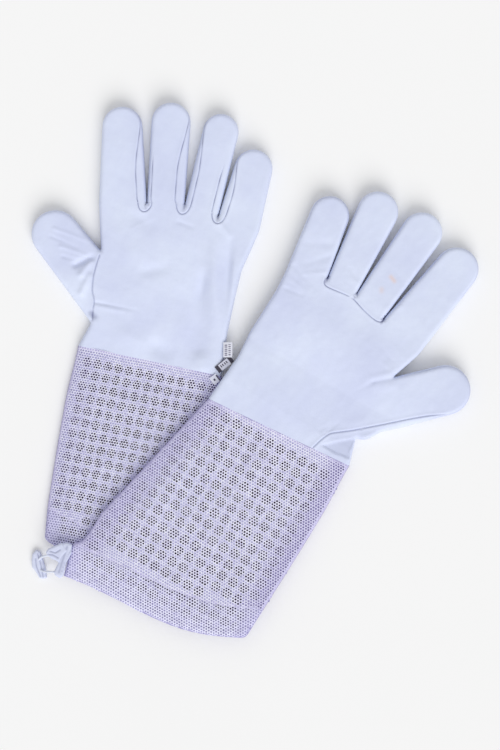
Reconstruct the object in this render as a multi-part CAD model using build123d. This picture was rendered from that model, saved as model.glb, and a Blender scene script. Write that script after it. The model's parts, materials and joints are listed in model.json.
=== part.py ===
from build123d import *
import os
from math import pi, radians, tan

# A pair of ventilated leather beekeeping gloves, lying flat, one glove on the other.
# Millimetres, +Z up, origin under the middle of the pair on the surface that it lies on.
#
# Each glove is first made in its own frame: the origin is the middle of the wrist seam on the
# palm face, +Y runs to the fingertips, -X is the thumb side, and the palm face is down at Z = 0.

# ---- driving dimensions ----
LEATHER = 1.2  # thickness of the leather
HAND_THICKNESS = 17.0  # a relaxed, empty hand lying flat
WRIST_THICKNESS = 11.0  # the wrist and the gauntlet lying flat
WRIST_FLAT = 22.0  # the back of the hand stays this thin up to here, then rises
KNUCKLE_RISE = 66.0  # and reaches its full thickness here
BODY_GAP = 0.4  # from a hinge line to the leather each side of it
SIDE_GAP = 0.9  # from a finger's side to the end of its hinge line
FINGER_ROUND = 6.0  # rounding along the edges of a finger

FOURCHETTE_LOW = 4.5  # the side strips of the fingers lie between these heights
FOURCHETTE_HIGH = 12.5

NET_OUTER = 0.7  # the three layers of the ventilated fabric
NET_SPACER = 1.0
NET_INNER = 0.5
LAYER_GAP = 0.05
HEM_GAP = 0.4  # from the net's edge to the hem band, across the seam between them
CUFF_ROUND = 5.4
HEM_LAYER = 0.9
HEM_LINING = 0.5
CORD_DIAMETER = 2.0
DRAWCORD = 1.8  # the elastic, squeezed in its channel

TAPE_WIDTH = 8.0
TAPE_THICKNESS = 0.6
BAND_BOW = 0.87  # the hem band's seam bows out this much of what the hem itself does
TAB_TOP = (11.0, -8.0)  # how far the tab's two outer corners stand from the band's corners
TAB_BOTTOM = (7.5, -0.5)
TAB_LOW = 2.5  # the tab is a doubled leather tongue between these heights
TAB_HIGH = 8.5

LOWER_TURN = -12.0  # degrees about Z
UPPER_TURN = -30.0
UPPER_PLACE = (128.8, -70.9)  # the upper wrist, measured from the lower wrist
UPPER_HEIGHT = 22.6  # the upper palm face, above the surface
UPPER_PITCH = 1.17  # the upper hand leans down to its fingertips

# ---- the outline of each hand: knuckle points run from the thumb side to the little finger ----
LOWER = {
    "wrist": ((-73, 0), (73, 0)),
    "thumb_hole": ((-65, 25), (-70, 97)),
    "knuckles": ((-82, 143), (-35, 152), (2, 158), (37, 155), (80, 150)),
    "little_side": ((77, 134), (70, 107), (68, 77), (69, 44)),
    "band": ((-67.5, -164), (118, -196)),
    "hem": ((-64, -196), (111, -228)),
    "bow": 8,
    "tips": {
        "thumb": ((-118, 104), 24),
        "index": ((-75, 222.5), 20),
        "middle": ((-28.5, 237), 19.5),
        "ring": ((21.9, 238), 17.8),
        "little": ((61.4, 209), 19),
    },
}
UPPER = {
    "wrist": ((-77.5, 6), (77.5, -6)),
    "thumb_hole": ((-69, 26), (-71, 104)),
    "knuckles": ((-82, 136), (-33.5, 148), (2, 156.5), (34.6, 155.4), (75.2, 149)),
    "little_side": ((74, 140), (73, 119), (74, 95), (75, 72), (73, 46)),
    "band": ((-73, -161), (122, -199)),
    "hem": ((-72, -194), (114, -231)),
    "bow": 15,
    "tips": {
        "thumb": ((-122.5, 119), 25),
        "index": ((-70.5, 229), 21),
        "middle": ((-24, 243), 20.5),
        "ring": ((25.5, 238.5), 20),
        "little": ((64, 212), 19.5),
    },
}
# ---- the labels sewn in at the little finger's side of the lower wrist ----
LABEL_THICKNESS = 0.45
LABEL_SEAM = 61.5  # the labels flap about this line inside the side seam
LABEL_LEVEL = 11.1  # just above the wrist
LABEL_RAISED = 12.8  # just above the leather, where the hand is thicker
LABELS = {  # x, y, width, length, turn in degrees, height of the underside
    "care_label": (74.0, 27.0, 9, 15, 12, LABEL_RAISED),
    "woven_label": (73.6, 12.3, 7.5, 19, -39.3, LABEL_LEVEL),
    "size_label": (67.6, -4.4, 8.5, 8, -39.3, LABEL_LEVEL),
}

# ---- the cord loop and its pull, in the upper wrist's frame seen from above ----
CORD_ROUTE = (  # from the tab, round through the pull and back: x, y, height above the surface
    (-131.8, -215.3, 17.0),
    (-138.7, -221.4, 12.5),
    (-143.8, -227.5, 5.8),
    (-143.6, -234.9, 3.4),
    (-137.3, -238.8, 4.2),
    (-130.4, -236.2, 9.4),
    (-123.9, -231.4, 15.5),
)
CORD_CLEAR = 0.1  # from the cord to the leather of the pull round it
PULL_OUTLINE = (
    (-150.4, -223.2),
    (-145.9, -222.9),
    (-140.7, -228.0),
    (-132.9, -233.9),
    (-127.7, -242.4),
    (-132.6, -245.9),
    (-138.4, -242.9),
    (-145.7, -240.1),
    (-152.3, -227.8),
)
PULL_LOW = 0.7
PULL_HIGH = 5.7
FLAP_OUTLINE = (  # the loose end of the tab, beside the cord's upper exit
    (-122.0, -203.5),
    (-130.0, -203.0),
    (-136.5, -207.9),
    (-136.9, -212.7),
    (-130.0, -210.2),
    (-124.0, -210.5),
)
FLAP_LOW = 15.2  # above the surface
FLAP_HIGH = 18.8

FINGERS = ("index", "middle", "ring", "little")
CUFF_NODES = ("cuff", "hem")  # what moves with a gauntlet


# ---- small tools ----
def unit(a, b):
    """The direction from one point of an outline to another."""
    return (Vector(*b) - Vector(*a)).normalized()


def left_of(direction):
    """The direction turned a quarter turn to the left, seen from above."""
    return Vector(-direction.Y, direction.X)


def prism(points, low, high):
    """A straight-sided block on an outline, between two heights."""
    face = make_face(Polyline(*[tuple(p)[:2] for p in points], close=True))
    return Pos(0, 0, low) * extrude(face, high - low)


def door(a, b, trim, low, high, reach):
    """A block across the line from a to b, to open a wall that runs along it."""
    along = unit(a, b)
    out = left_of(along) * reach
    start = Vector(*a) + along * trim
    end = Vector(*b) - along * trim
    return prism([start - out, end - out, end + out, start + out], low, high)


def hinge_ends(glove, digit):
    """The hinge line of a digit, from the little finger's side of it to the thumb's."""
    if digit == "thumb":
        return glove["thumb_hole"][1], glove["thumb_hole"][0]
    place = FINGERS.index(digit)
    return glove["knuckles"][place + 1], glove["knuckles"][place]


def out_of_hand(glove, digit):
    """The direction in which a digit leaves its hinge line."""
    a, b = hinge_ends(glove, digit)
    return left_of(unit(b, a))


# ---- a finger or thumb ----
def digit_block(glove, digit, inset, start):
    """The rounded block of a digit, smaller all round by inset, from a distance off its hinge."""
    a, b = hinge_ends(glove, digit)
    tip, radius = glove["tips"][digit]
    along = unit(a, b)
    base = out_of_hand(glove, digit) * start
    first = Vector(*a) + along * (SIDE_GAP + inset) + base
    last = Vector(*b) - along * (SIDE_GAP + inset) + base
    line = Edge.make_line(first, last)
    circle = Edge.make_circle(radius - inset).moved(Location((*tip, 0)))
    height = HAND_THICKNESS - 2 * inset
    block = extrude(make_hull([line, circle]), height)
    middle = (first + last) / 2
    rims = [
        e
        for e in block.edges()
        if min(e.center().Z, height - e.center().Z) < 0.01
        and (e.center() - Vector(middle.X, middle.Y, e.center().Z)).length > 1
    ]
    return Pos(0, 0, inset) * fillet(rims, FINGER_ROUND - inset)


def side_strip(glove, digit, side):
    """The part of a digit's walls that its fourchette on one side takes up."""
    a, b = hinge_ends(glove, digit)
    tip, radius = glove["tips"][digit]
    middle = (Vector(*a) + Vector(*b)) / 2
    axis = (Vector(*tip) - middle).normalized()
    across = left_of(axis) * side * 60
    top = Vector(*tip) - axis * 2
    bottom = middle - axis * 10
    corners = [bottom, top, top + across, bottom + across]
    return prism(corners, FOURCHETTE_LOW, FOURCHETTE_HIGH)


def make_digit(glove, digit):
    """The back, the front and the side strips of one digit."""
    outside = digit_block(glove, digit, 0, BODY_GAP)
    shell = outside - digit_block(glove, digit, LEATHER, -4)
    sides = {"thumb": (), "index": (-1,), "middle": (1, -1), "ring": (1, -1), "little": (1,)}
    strips = []
    for side in sides[digit]:
        region = side_strip(glove, digit, side)
        strips.append(shell & region)
    for side in sides[digit]:
        shell -= side_strip(glove, digit, side)
    middle = Plane.XY.offset(HAND_THICKNESS / 2)
    pieces = {
        f"{digit}_back": split(shell, bisect_by=middle, keep=Keep.TOP),
        f"{digit}_front": split(shell, bisect_by=middle, keep=Keep.BOTTOM),
    }
    if strips:
        pieces[f"{digit}_fourchette"] = Part() + strips
    return pieces


# ---- the hand between the wrist and the knuckles ----
def hand_outline(glove):
    """The outline of the palm, pulled back a little from the hinge lines."""
    little, thumb = glove["wrist"][1], glove["wrist"][0]
    points = [thumb, little, *reversed(glove["little_side"]), *reversed(glove["knuckles"])]
    points += [glove["thumb_hole"][1], glove["thumb_hole"][0]]
    return make_face(Polyline(*points, close=True))


def side_profile(inset):
    """The thickness of the hand from wrist to knuckles, as a block across the whole hand."""
    low = inset
    wrist = WRIST_THICKNESS - inset
    high = HAND_THICKNESS - inset
    points = [(-30, low), (300, low), (300, high), (KNUCKLE_RISE, high), (WRIST_FLAT, wrist), (-30, wrist)]
    face = make_face(Polyline(*points, close=True))
    return Pos(-200, 0, 0) * (Plane.YZ * extrude(face, 400))


def hand_block(glove, inset):
    """The hand as a block, smaller by inset along its sides, its top and its bottom."""
    face = hand_outline(glove)
    if inset:
        face = offset(face, -inset, kind=Kind.INTERSECTION)
    return extrude(face, HAND_THICKNESS) & side_profile(inset)


def hinge_trims(glove, low, high):
    """Thin blocks along every hinge line, which keep the hand clear of what turns there."""
    lines = [hinge_ends(glove, digit) for digit in glove["tips"]] + [glove["wrist"]]
    blocks = []
    for a, b in lines:
        blocks.append(door(a, b, -3, low, high, BODY_GAP))
    return blocks


def hand_cavity(glove):
    """The hollow of the hand, open at the wrist, at each finger and at the thumb."""
    hollow = hand_block(glove, LEATHER)
    for digit in glove["tips"]:
        a, b = hinge_ends(glove, digit)
        hollow += door(a, b, SIDE_GAP + 2 * LEATHER, LEATHER, HAND_THICKNESS - LEATHER, 4)
    a, b = glove["wrist"]
    return hollow + door(a, b, 2 * LEATHER, LEATHER, WRIST_THICKNESS - LEATHER, 4)


def make_hand(glove):
    """The two panels of the hand and the tape inside the wrist seam."""
    shell = hand_block(glove, 0) - hand_cavity(glove)
    for block in hinge_trims(glove, -1, HAND_THICKNESS + 1):
        shell -= block
    middle = Plane.XY.offset(HAND_THICKNESS / 2)
    clear = LEATHER + LAYER_GAP
    tape = hand_block(glove, clear) - hand_block(glove, clear + TAPE_THICKNESS)
    a, b = glove["wrist"]
    near = left_of(unit(a, b)) * (TAPE_WIDTH / 2 + 2)
    centre_a = Vector(*a) + near
    centre_b = Vector(*b) + near
    tape &= door(centre_a, centre_b, -3, 0, HAND_THICKNESS, TAPE_WIDTH / 2)
    return {
        "back_panel": split(shell, bisect_by=middle, keep=Keep.TOP),
        "palm_panel": split(shell, bisect_by=middle, keep=Keep.BOTTOM),
        "wrist_seam_tape": tape,
    }


# ---- the gauntlet ----
def between(a, b, share):
    """The point at a share of the way from a to b."""
    return Vector(*a) * (1 - share) + Vector(*b) * share


def inset_line(start, end, inset, side):
    """A side line of the gauntlet, moved inwards by inset."""
    inward = left_of(unit(start, end)) * side * inset
    return Vector(*start) + inward, Vector(*end) + inward


def flat_block(start_line, end_line, bows, inset, first, last):
    """A straight-sided block between two seam lines, smaller by inset, from share to share."""
    thumb = inset_line(start_line[0], end_line[0], inset, 1)
    little = inset_line(start_line[1], end_line[1], inset, -1)
    edges = []
    ends = []
    for share in (first, last):
        left = between(*thumb, share)
        right = between(*little, share)
        bow = bows[0] * (1 - share) + bows[1] * share
        away = left_of((right - left).normalized()) * -bow
        crown = (left + right) / 2 + away
        edges.append(ThreePointArc(left, crown, right) if bow else Line(left, right))
        ends.append((left, right))
    edges.append(Line(ends[0][0], ends[1][0]))
    edges.append(Line(ends[0][1], ends[1][1]))
    block = extrude(make_face(edges), WRIST_THICKNESS - 2 * inset)
    sides = [(near + far) / 2 for near, far in zip(*ends)]
    return block, sides


def cuff_block(start_line, end_line, bows, inset, first=0.0, last=1.0):
    """The same block with its long sides rounded, as a flattened tube is."""
    block, sides = flat_block(start_line, end_line, bows, inset, first, last)
    height = WRIST_THICKNESS - 2 * inset
    rims = []
    for edge in block.edges():
        at = edge.center()
        level = min(at.Z, height - at.Z) < 0.01
        if level and min((Vector(at.X, at.Y) - side).length for side in sides) < 0.01:
            rims.append(edge)
    return Pos(0, 0, inset) * fillet(rims, CUFF_ROUND - inset)


def cuff_tube(start_line, end_line, bows, outer, inner):
    """One layer of the flat tube, between two insets."""
    tube = cuff_block(start_line, end_line, bows, outer)
    return tube - cuff_block(start_line, end_line, bows, inner, -0.1, 1.1)


def moved_line(line, distance):
    """A seam line moved along the gauntlet, away from the hand."""
    away = left_of(unit(*line)) * -distance
    return tuple(tuple(Vector(*p) + away)[:2] for p in line)


def make_cuff(glove):
    """The three layers of the ventilated fabric, from the wrist seam to the hem band."""
    wrist = moved_line(glove["wrist"], BODY_GAP)
    band = glove["band"]
    bows = (0, glove["bow"] * BAND_BOW)
    spacer = NET_OUTER + LAYER_GAP
    inner = spacer + NET_SPACER + LAYER_GAP
    return {
        "cuff_outer_net": cuff_tube(wrist, band, bows, 0, NET_OUTER),
        "cuff_spacer": cuff_tube(wrist, band, bows, spacer, spacer + NET_SPACER),
        "cuff_inner_net": cuff_tube(wrist, band, bows, inner, inner + NET_INNER),
    }


def tab_outline(glove, inward):
    """The tab beside the end of the hem band, reaching some way into the band."""
    band = Vector(*glove["band"][1])
    hem = Vector(*glove["hem"][1])
    across = unit(*glove["hem"]) * inward
    return [band - across, band + Vector(*TAB_TOP), hem + Vector(*TAB_BOTTOM), hem - across]


def make_hem(glove):
    """The hem band: outer layer, lining, the elastic in its channel and the leather tab."""
    band = moved_line(glove["band"], HEM_GAP)
    hem = glove["hem"]
    bows = (glove["bow"] * BAND_BOW, glove["bow"])
    channel = HEM_LAYER + LAYER_GAP
    lining = channel + DRAWCORD + LAYER_GAP
    share = DRAWCORD / 2 / (Vector(*band[0]) - Vector(*hem[0])).length
    ring = flat_block(band, hem, bows, 0, 0.5 - share, 0.5 + share)[0]
    tab = prism(tab_outline(glove, 3), TAB_LOW, TAB_HIGH)
    return {
        "hem_outer": cuff_tube(band, hem, bows, 0, HEM_LAYER),
        "hem_drawcord": cuff_tube(band, hem, bows, channel, channel + DRAWCORD) & ring,
        "hem_lining": cuff_tube(band, hem, bows, lining, lining + HEM_LINING),
        "hem_tab": tab - cuff_block(band, hem, bows, 0, -0.5, 1.5),
    }


# ---- the labels at the side seam of the lower glove ----
def make_labels():
    """Three sewn-in labels, each a small flat strip on the edge of the glove's back."""
    labels = {}
    for name, (x, y, width, length, turn, low) in LABELS.items():
        strip = Box(width, length, LABEL_THICKNESS, align=(Align.CENTER, Align.CENTER, Align.MIN))
        labels[name] = Pos(x, y, low) * Rot(0, 0, turn) * strip
    return labels


# ---- the cord loop and its pull ----
def cord_points(to_world):
    """The cord's route as points in the pair's frame."""
    points = []
    for x, y, height in CORD_ROUTE:
        at = (to_world * Pos(x, y, 0)).position
        points.append(Vector(at.X, at.Y, height))
    return points


def cord_radii(points):
    """The radius of each arc: as large as its two runs allow."""
    radii = []
    for before, here, after in zip(points, points[1:], points[2:]):
        turn = (here - before).get_angle(after - here)
        shorter = min((here - before).length, (after - here).length)
        radii.append(0.45 * shorter / tan(radians(turn) / 2))
    return radii


def cord_tube(points, diameter):
    """A round tube along the cord's route: straight runs joined by tangent arcs."""
    path = FilletPolyline(*points, radius=cord_radii(points))
    start = Plane(origin=path @ 0, z_dir=path % 0)
    return sweep(start * Circle(diameter / 2), path=path), path


def make_pull(to_world):
    """The elastic loop, the folded leather pull that it passes through and the tab's flap."""
    points = cord_points(to_world)
    tube, _ = cord_tube(points, CORD_DIAMETER)
    passage, _ = cord_tube(points, CORD_DIAMETER + 2 * CORD_CLEAR)
    flat = Location((0, 0, -to_world.position.Z))
    pull = flat * to_world * prism(PULL_OUTLINE, PULL_LOW, PULL_HIGH)
    flap = flat * to_world * prism(FLAP_OUTLINE, FLAP_LOW, FLAP_HIGH)
    return {"pull_cord": tube, "cord_pull": pull - passage}, flap


# ---- putting the pair together ----
LOWER_AT = Rot(0, 0, LOWER_TURN)
UPPER_ABOVE = Pos(*UPPER_PLACE, UPPER_HEIGHT) * Rot(0, 0, UPPER_TURN)
UPPER_AT = UPPER_ABOVE * Rot(0, 180, 0)
UPPER_HAND_AT = UPPER_AT * Rot(UPPER_PITCH, 0, 0)


def build_pair():
    """Every node of the pair, before it is centred: name to solid."""
    nodes = {}
    for side, glove in (("lower", LOWER), ("upper", UPPER)):
        pieces = make_hand(glove)
        for digit in ("thumb", *FINGERS):
            pieces.update(make_digit(glove, digit))
        pieces.update(make_cuff(glove))
        pieces.update(make_hem(glove))
        for name, piece in pieces.items():
            nodes[f"{side}_{name}"] = place_of(side, name) * piece
    for name, piece in make_labels().items():
        nodes[name] = LOWER_AT * piece
    pull, flap = make_pull(UPPER_ABOVE)
    nodes.update(pull)
    nodes["tab_flap"] = flap - nodes["upper_hem_tab"]
    return nodes


def place_of(side, name):
    """Where a piece of the lower or upper glove goes."""
    if side == "lower":
        return LOWER_AT
    return UPPER_AT if name.startswith(CUFF_NODES) else UPPER_HAND_AT


def middle_of(nodes):
    """The middle of the pair without its cord, on the surface that it lies on."""
    boxes = [piece.bounding_box() for name, piece in nodes.items() if name not in ("pull_cord", "cord_pull")]
    low = [min(getattr(box.min, axis) for box in boxes) for axis in "XYZ"]
    high = [max(getattr(box.max, axis) for box in boxes) for axis in "XYZ"]
    return Vector((low[0] + high[0]) / 2, (low[1] + high[1]) / 2, low[2])


def report_cord():
    """Print the radii of the cord's arcs and test its tube's volume."""
    points = cord_points(UPPER_ABOVE)
    tube, path = cord_tube(points, CORD_DIAMETER)
    print("cord arc radii, mm:", [round(radius, 1) for radius in cord_radii(points)])
    section = pi * CORD_DIAMETER**2 / 4
    print(f"cord length {path.length:.1f} mm, tube volume {tube.volume:.2f} mm3,", end=" ")
    print(f"section times length {section * path.length:.2f} mm3")


NODES = build_pair()
CENTRE = middle_of(NODES)
HOME = Location(-CENTRE)

os.makedirs("parts", exist_ok=True)
for node_name, node_piece in NODES.items():
    export_step(HOME * node_piece, f"parts/{node_name}.step")
report_cord()
print(len(NODES), "nodes; middle at", CENTRE)
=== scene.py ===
import bpy
import json
import math
import numpy as np
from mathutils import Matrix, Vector
from mathutils.geometry import delaunay_2d_cdt


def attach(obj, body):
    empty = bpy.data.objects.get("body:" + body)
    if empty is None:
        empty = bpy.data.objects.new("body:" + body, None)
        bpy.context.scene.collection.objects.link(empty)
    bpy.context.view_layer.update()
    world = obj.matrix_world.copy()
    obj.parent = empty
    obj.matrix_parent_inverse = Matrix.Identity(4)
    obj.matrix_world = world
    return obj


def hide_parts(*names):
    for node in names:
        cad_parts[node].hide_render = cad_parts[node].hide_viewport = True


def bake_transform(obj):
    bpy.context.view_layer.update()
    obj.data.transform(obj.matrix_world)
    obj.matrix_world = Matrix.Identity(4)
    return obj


# A pair of ventilated leather beekeeping gloves, one lying on the other.
# Each glove is drawn in its own plan: millimetres from the middle of its wrist seam, +y to the
# fingertips, -x to the thumb. Heights are millimetres above the surface that the pair lies on.

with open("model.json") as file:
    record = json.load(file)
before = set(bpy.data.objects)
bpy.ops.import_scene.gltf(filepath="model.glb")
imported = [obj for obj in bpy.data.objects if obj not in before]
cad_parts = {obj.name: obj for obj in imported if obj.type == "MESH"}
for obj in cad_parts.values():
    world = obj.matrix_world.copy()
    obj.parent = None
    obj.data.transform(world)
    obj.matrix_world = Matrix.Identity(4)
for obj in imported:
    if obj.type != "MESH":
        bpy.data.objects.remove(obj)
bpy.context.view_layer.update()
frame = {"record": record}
MM = 0.001

# ---------------------------------------------------------------- the frame of each glove
TURN = {"lower": math.radians(-12), "upper": math.radians(-30)}
MIRROR = {"lower": 1.0, "upper": -1.0}  # the upper glove lies palm up
JOINT = {j["name"]: j for j in frame["record"]["behaviour"]["joints"]}
WRIST = {side: np.array(JOINT[f"{side}_wrist_fold"]["pos_m"]) / MM for side in TURN}


def to_world(side, plan, height):
    """Plan points and heights of a glove, in metres in the frame."""
    plan = np.asarray(plan, float)
    c, s = math.cos(TURN[side]), math.sin(TURN[side])
    x = plan[:, 0] * MIRROR[side]
    y = plan[:, 1]
    height = np.broadcast_to(np.asarray(height, float), x.shape)
    out = np.stack([WRIST[side][0] + x * c - y * s, WRIST[side][1] + x * s + y * c, height], 1)
    return out * MM


# ---------------------------------------------------------------- outlines, as in the CAD model
FINGERS = ("index", "middle", "ring", "little")
GLOVE = {
    "lower": {
        "wrist": ((-73, 0), (73, 0)),
        "thumb_hole": ((-65, 25), (-70, 97)),
        "knuckles": ((-82, 143), (-35, 152), (2, 158), (37, 155), (80, 150)),
        "little_side": ((81.5, 170), (80, 150), (77, 134), (71, 107), (70.3, 77), (70, 44)),
        "band": ((-67.5, -164), (118, -196)),
        "hem": ((-64, -196), (111, -228)),
        "bow": 8,
        "tips": {
            "thumb": ((-118, 104), 24),
            "index": ((-75, 222.5), 20),
            "middle": ((-28.5, 237), 19.5),
            "ring": ((21.9, 238), 17.8),
            "little": ((61.4, 209), 19),
        },
    },
    "upper": {
        "wrist": ((-77.5, 6), (77.5, -6)),
        "thumb_hole": ((-69.3, 33), (-71, 104)),
        "thumb_under": ((-103, 64.5), (-87.7, 50.5), (-81.4, 39.2), (-76.1, 34.8)),
        "knuckles": ((-82, 136), (-33.5, 148), (2, 156.5), (34.6, 155.4), (75.2, 149)),
        "little_side": ((74, 140), (73, 119), (74, 95), (75, 72), (73, 46)),
        "band": ((-73, -161), (122, -199)),
        "hem": ((-72, -194), (114, -231)),
        "bow": 12,
        "tips": {
            "thumb": ((-122.5, 119), 25),
            "index": ((-72.2, 229), 21.8),
            "middle": ((-24, 243), 20.5),
            "ring": ((24.4, 239), 20.6),
            "little": ((64, 212), 19.5),
        },
    },
}
BAND_BOW = 0.87


# ---------------------------------------------------------------- plan geometry
def unit(a, b):
    """The direction from a to b."""
    v = np.subtract(b, a)
    return v / np.linalg.norm(v)


def left_of(v):
    """A direction turned a quarter to the left."""
    return np.array([-v[1], v[0]])


def resample(points, step):
    """Points about a step apart along a polyline, ends kept."""
    points = np.asarray(points, float)
    runs = np.linalg.norm(np.diff(points, axis=0), axis=1)
    along = np.concatenate([[0], np.cumsum(runs)])
    count = max(2, int(round(along[-1] / step)) + 1)
    at = np.linspace(0, along[-1], count)
    return np.stack([np.interp(at, along, points[:, k]) for k in (0, 1)], 1)


def smooth_path(points, passes, fixed=()):
    """A closed path with its small corners rounded off; fixed points stay."""
    points = points.copy()
    keep = np.zeros(len(points), bool)
    keep[list(fixed)] = True
    for _ in range(passes):
        mean = (np.roll(points, 1, 0) + points * 2 + np.roll(points, -1, 0)) / 4
        points[~keep] = mean[~keep]
    return points


AT_ONCE = 4000  # points measured in one go, to save memory


def segment_distance(points, a, b):
    """The distance of each point to its nearest segment, and which one that is."""
    best = np.full(len(points), 1e9)
    which = np.zeros(len(points), int)
    ab = b - a
    for start in range(0, len(points), AT_ONCE):
        here = slice(start, start + AT_ONCE)
        p = points[here, None, :]
        t = ((p - a) * ab).sum(2) / np.maximum((ab * ab).sum(1), 1e-12)
        near = a + np.clip(t, 0, 1)[..., None] * ab
        d = np.linalg.norm(p - near, axis=2)
        which[here] = d.argmin(1)
        best[here] = d.min(1)
    return best, which


def path_distance(points, path, closed=False):
    """The distance of each point to a path."""
    path = np.asarray(path, float)
    if closed:
        return segment_distance(points, path, np.roll(path, -1, 0))[0]
    return segment_distance(points, path[:-1], path[1:])[0]


def inside(points, polygon):
    """Which points a closed polygon holds."""
    polygon = np.asarray(polygon, float)
    result = np.zeros(len(points), bool)
    x, y = points[:, 0], points[:, 1]
    for (x1, y1), (x2, y2) in zip(polygon, np.roll(polygon, -1, 0)):
        crosses = (y1 > y) != (y2 > y)
        if y1 != y2:
            result ^= crosses & (x < (x2 - x1) * (y - y1) / (y2 - y1) + x1)
    return result


def smoothstep(low, high, x):
    """0 up to low and 1 from high on, or the other way round, with a soft rise between."""
    t = np.clip((np.asarray(x, float) - low) / (high - low), 0, 1)
    return t * t * (3 - 2 * t)


def bump(points, a, b, width, fade=0.0):
    """1 on the segment from a to b and 0 a few widths away, fading towards b."""
    a, b = np.asarray(a, float), np.asarray(b, float)
    ab = b - a
    t = np.clip(((points - a) * ab).sum(1) / (ab * ab).sum(), 0, 1)
    d = np.linalg.norm(points - (a + t[:, None] * ab), axis=1)
    return np.exp(-((d / width) ** 2)) * (1 - fade * t)


# ---------------------------------------------------------------- outlines from those numbers
def hinge_ends(glove, digit):
    """The two ends of the line that a digit curls about."""
    if digit == "thumb":
        return np.array(glove["thumb_hole"][1], float), np.array(glove["thumb_hole"][0], float)
    place = FINGERS.index(digit)
    return np.array(glove["knuckles"][place + 1], float), np.array(glove["knuckles"][place], float)


def tangent(point, centre, radius, side):
    """Where the line from a point touches a circle, on one side of it."""
    v = np.subtract(centre, point)
    reach = math.sqrt(v @ v - radius * radius)
    angle = math.atan2(v[1], v[0]) + side * math.asin(radius / np.linalg.norm(v))
    return np.asarray(point) + reach * np.array([math.cos(angle), math.sin(angle)])


def digit_path(glove, digit):
    """Where the two sides of a digit meet the arc round its tip, and the arc."""
    a, b = hinge_ends(glove, digit)
    centre, radius = glove["tips"][digit]
    centre = np.array(centre, float)
    ta = tangent(a, centre, radius, -1)
    tb = tangent(b, centre, radius, 1)
    first = math.atan2(*(ta - centre)[::-1])
    last = math.atan2(*(tb - centre)[::-1])
    last += 2 * math.pi * (last < first)
    turn = np.linspace(first, last, 40)
    arc = centre + radius * np.stack([np.cos(turn), np.sin(turn)], 1)
    return ta, tb, arc


def silhouette(glove):
    """The outline of the leather hand, anticlockwise from the thumb end of the wrist."""
    points = [np.array(glove["wrist"], float), np.array(glove["little_side"][::-1], float)]
    for digit in ("little", "ring", "middle", "index", "thumb"):
        a, b = hinge_ends(glove, digit)
        under = np.array(glove.get("thumb_under", ()) if digit == "thumb" else (), float).reshape(-1, 2)
        points += [a[None], digit_path(glove, digit)[2], under, b[None]]
    points = np.concatenate(points)
    keep = np.linalg.norm(points - np.roll(points, 1, 0), axis=1) > 0.01
    points = points[keep]
    wrist = resample(points[:2], 1.3)
    rest = resample(np.concatenate([points[1:], points[:1]]), 1.25)
    path = np.concatenate([wrist[:-1], rest[:-1]])
    fixed = range(len(wrist))
    return smooth_path(path, 5, fixed), len(wrist)


def bowed_line(a, b, bow, step, leaning):
    """A seam line across the gauntlet, bowed away from the hand; a leaning one is fuller near a."""
    a, b = np.asarray(a, float), np.asarray(b, float)
    t = np.linspace(0, 1, max(2, int(np.linalg.norm(b - a) / step)))
    away = -left_of(unit(a, b))
    out = np.abs(np.sin(math.pi * t**0.68)) ** 1.8 if leaning else 4 * t * (1 - t)
    return a + t[:, None] * (b - a) + (out * bow)[:, None] * away


# ---------------------------------------------------------------- heights
SUPPORT = (np.array([-73.6, 12.8]), np.array([35.4, -183.0]))  # the lower gauntlet's edge, seen from above


def thickness(y):
    """How thick the glove lies, from hem to fingertips."""
    return np.interp(y, [-240, -20, 0, 60, 120, 300], [8.4, 8.6, 9.2, 13.2, 14.6, 15.6])


def edge_round(y):
    """How far in from its edge the glove is rounded."""
    return np.interp(y, [-240, -20, 10, 60, 300], [5.0, 5.0, 5.3, 4.9, 4.6])


def base_height(side, plan):
    """The level that the underside lies on."""
    if side == "lower":
        return np.full(len(plan), 0.25)
    y = plan[:, 1]
    level = np.interp(y, [-300, -200, 0, 20, 66, 265], [8.6, 9.6, 10.4, 10.1, 4.9, 0.6])
    a, b = SUPPORT
    above = plan * np.array([-1.0, 1.0])
    away = (above - a) @ left_of(unit(a, b))
    drop = 7.5 * smoothstep(12, 125, away) * smoothstep(110, 30, y)
    past_hem = 4.5 * smoothstep(-190, -236, y)
    return np.maximum(level - drop - past_hem, 0.3)


def shape_of(side, plan, d):
    """The underside and the top at plan points, whose distance to the side edges is d."""
    y = plan[:, 1]
    t = thickness(y)
    r = edge_round(y)
    s = np.clip(1 - (1 - np.clip(d / r, 0, 1)) ** 2.8, 0, 1) ** (1 / 2.2)
    edge = 0.44 * t
    base = base_height(side, plan)
    return base + edge - edge * s, base + edge + (t - edge) * s


# ---------------------------------------------------------------- plan meshes
def hex_points(low, high, pitch):
    """A triangular grid of points over a rectangle."""
    rows = np.arange(low[1], high[1], pitch * math.sqrt(3) / 2)
    points = []
    for k, y in enumerate(rows):
        x = np.arange(low[0] + (k % 2) * pitch / 2, high[0], pitch)
        points.append(np.stack([x, np.full(len(x), y)], 1))
    return np.concatenate(points)


def offset_rows(path, offsets):
    """Rows of points beside a path."""
    ahead = np.vstack([path[1:], path[-1:] * 2 - path[-2:-1]])
    behind = np.vstack([path[:1] * 2 - path[1:2], path[:-1]])
    run = ahead - behind
    run /= np.linalg.norm(run, axis=1)[:, None]
    side = np.stack([-run[:, 1], run[:, 0]], 1)
    return [path + side * offset for offset in offsets]


def triangulate(points, edges, keep):
    """Triangles over points, anticlockwise, with those left out whose middles keep turns down."""
    result = delaunay_2d_cdt([Vector(p) for p in points], edges, [], 0, 1e-5)
    verts = np.array([tuple(v) for v in result[0]])
    faces = np.array([f for f in result[2]])
    faces = faces[keep(verts[faces].mean(1))]
    a, b, c = (verts[faces[:, k]] for k in range(3))
    area = (b[:, 0] - a[:, 0]) * (c[:, 1] - a[:, 1]) - (b[:, 1] - a[:, 1]) * (c[:, 0] - a[:, 0])
    faces[area < 0] = faces[area < 0][:, ::-1]
    return verts, faces[np.abs(area) > 1e-6]


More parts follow.
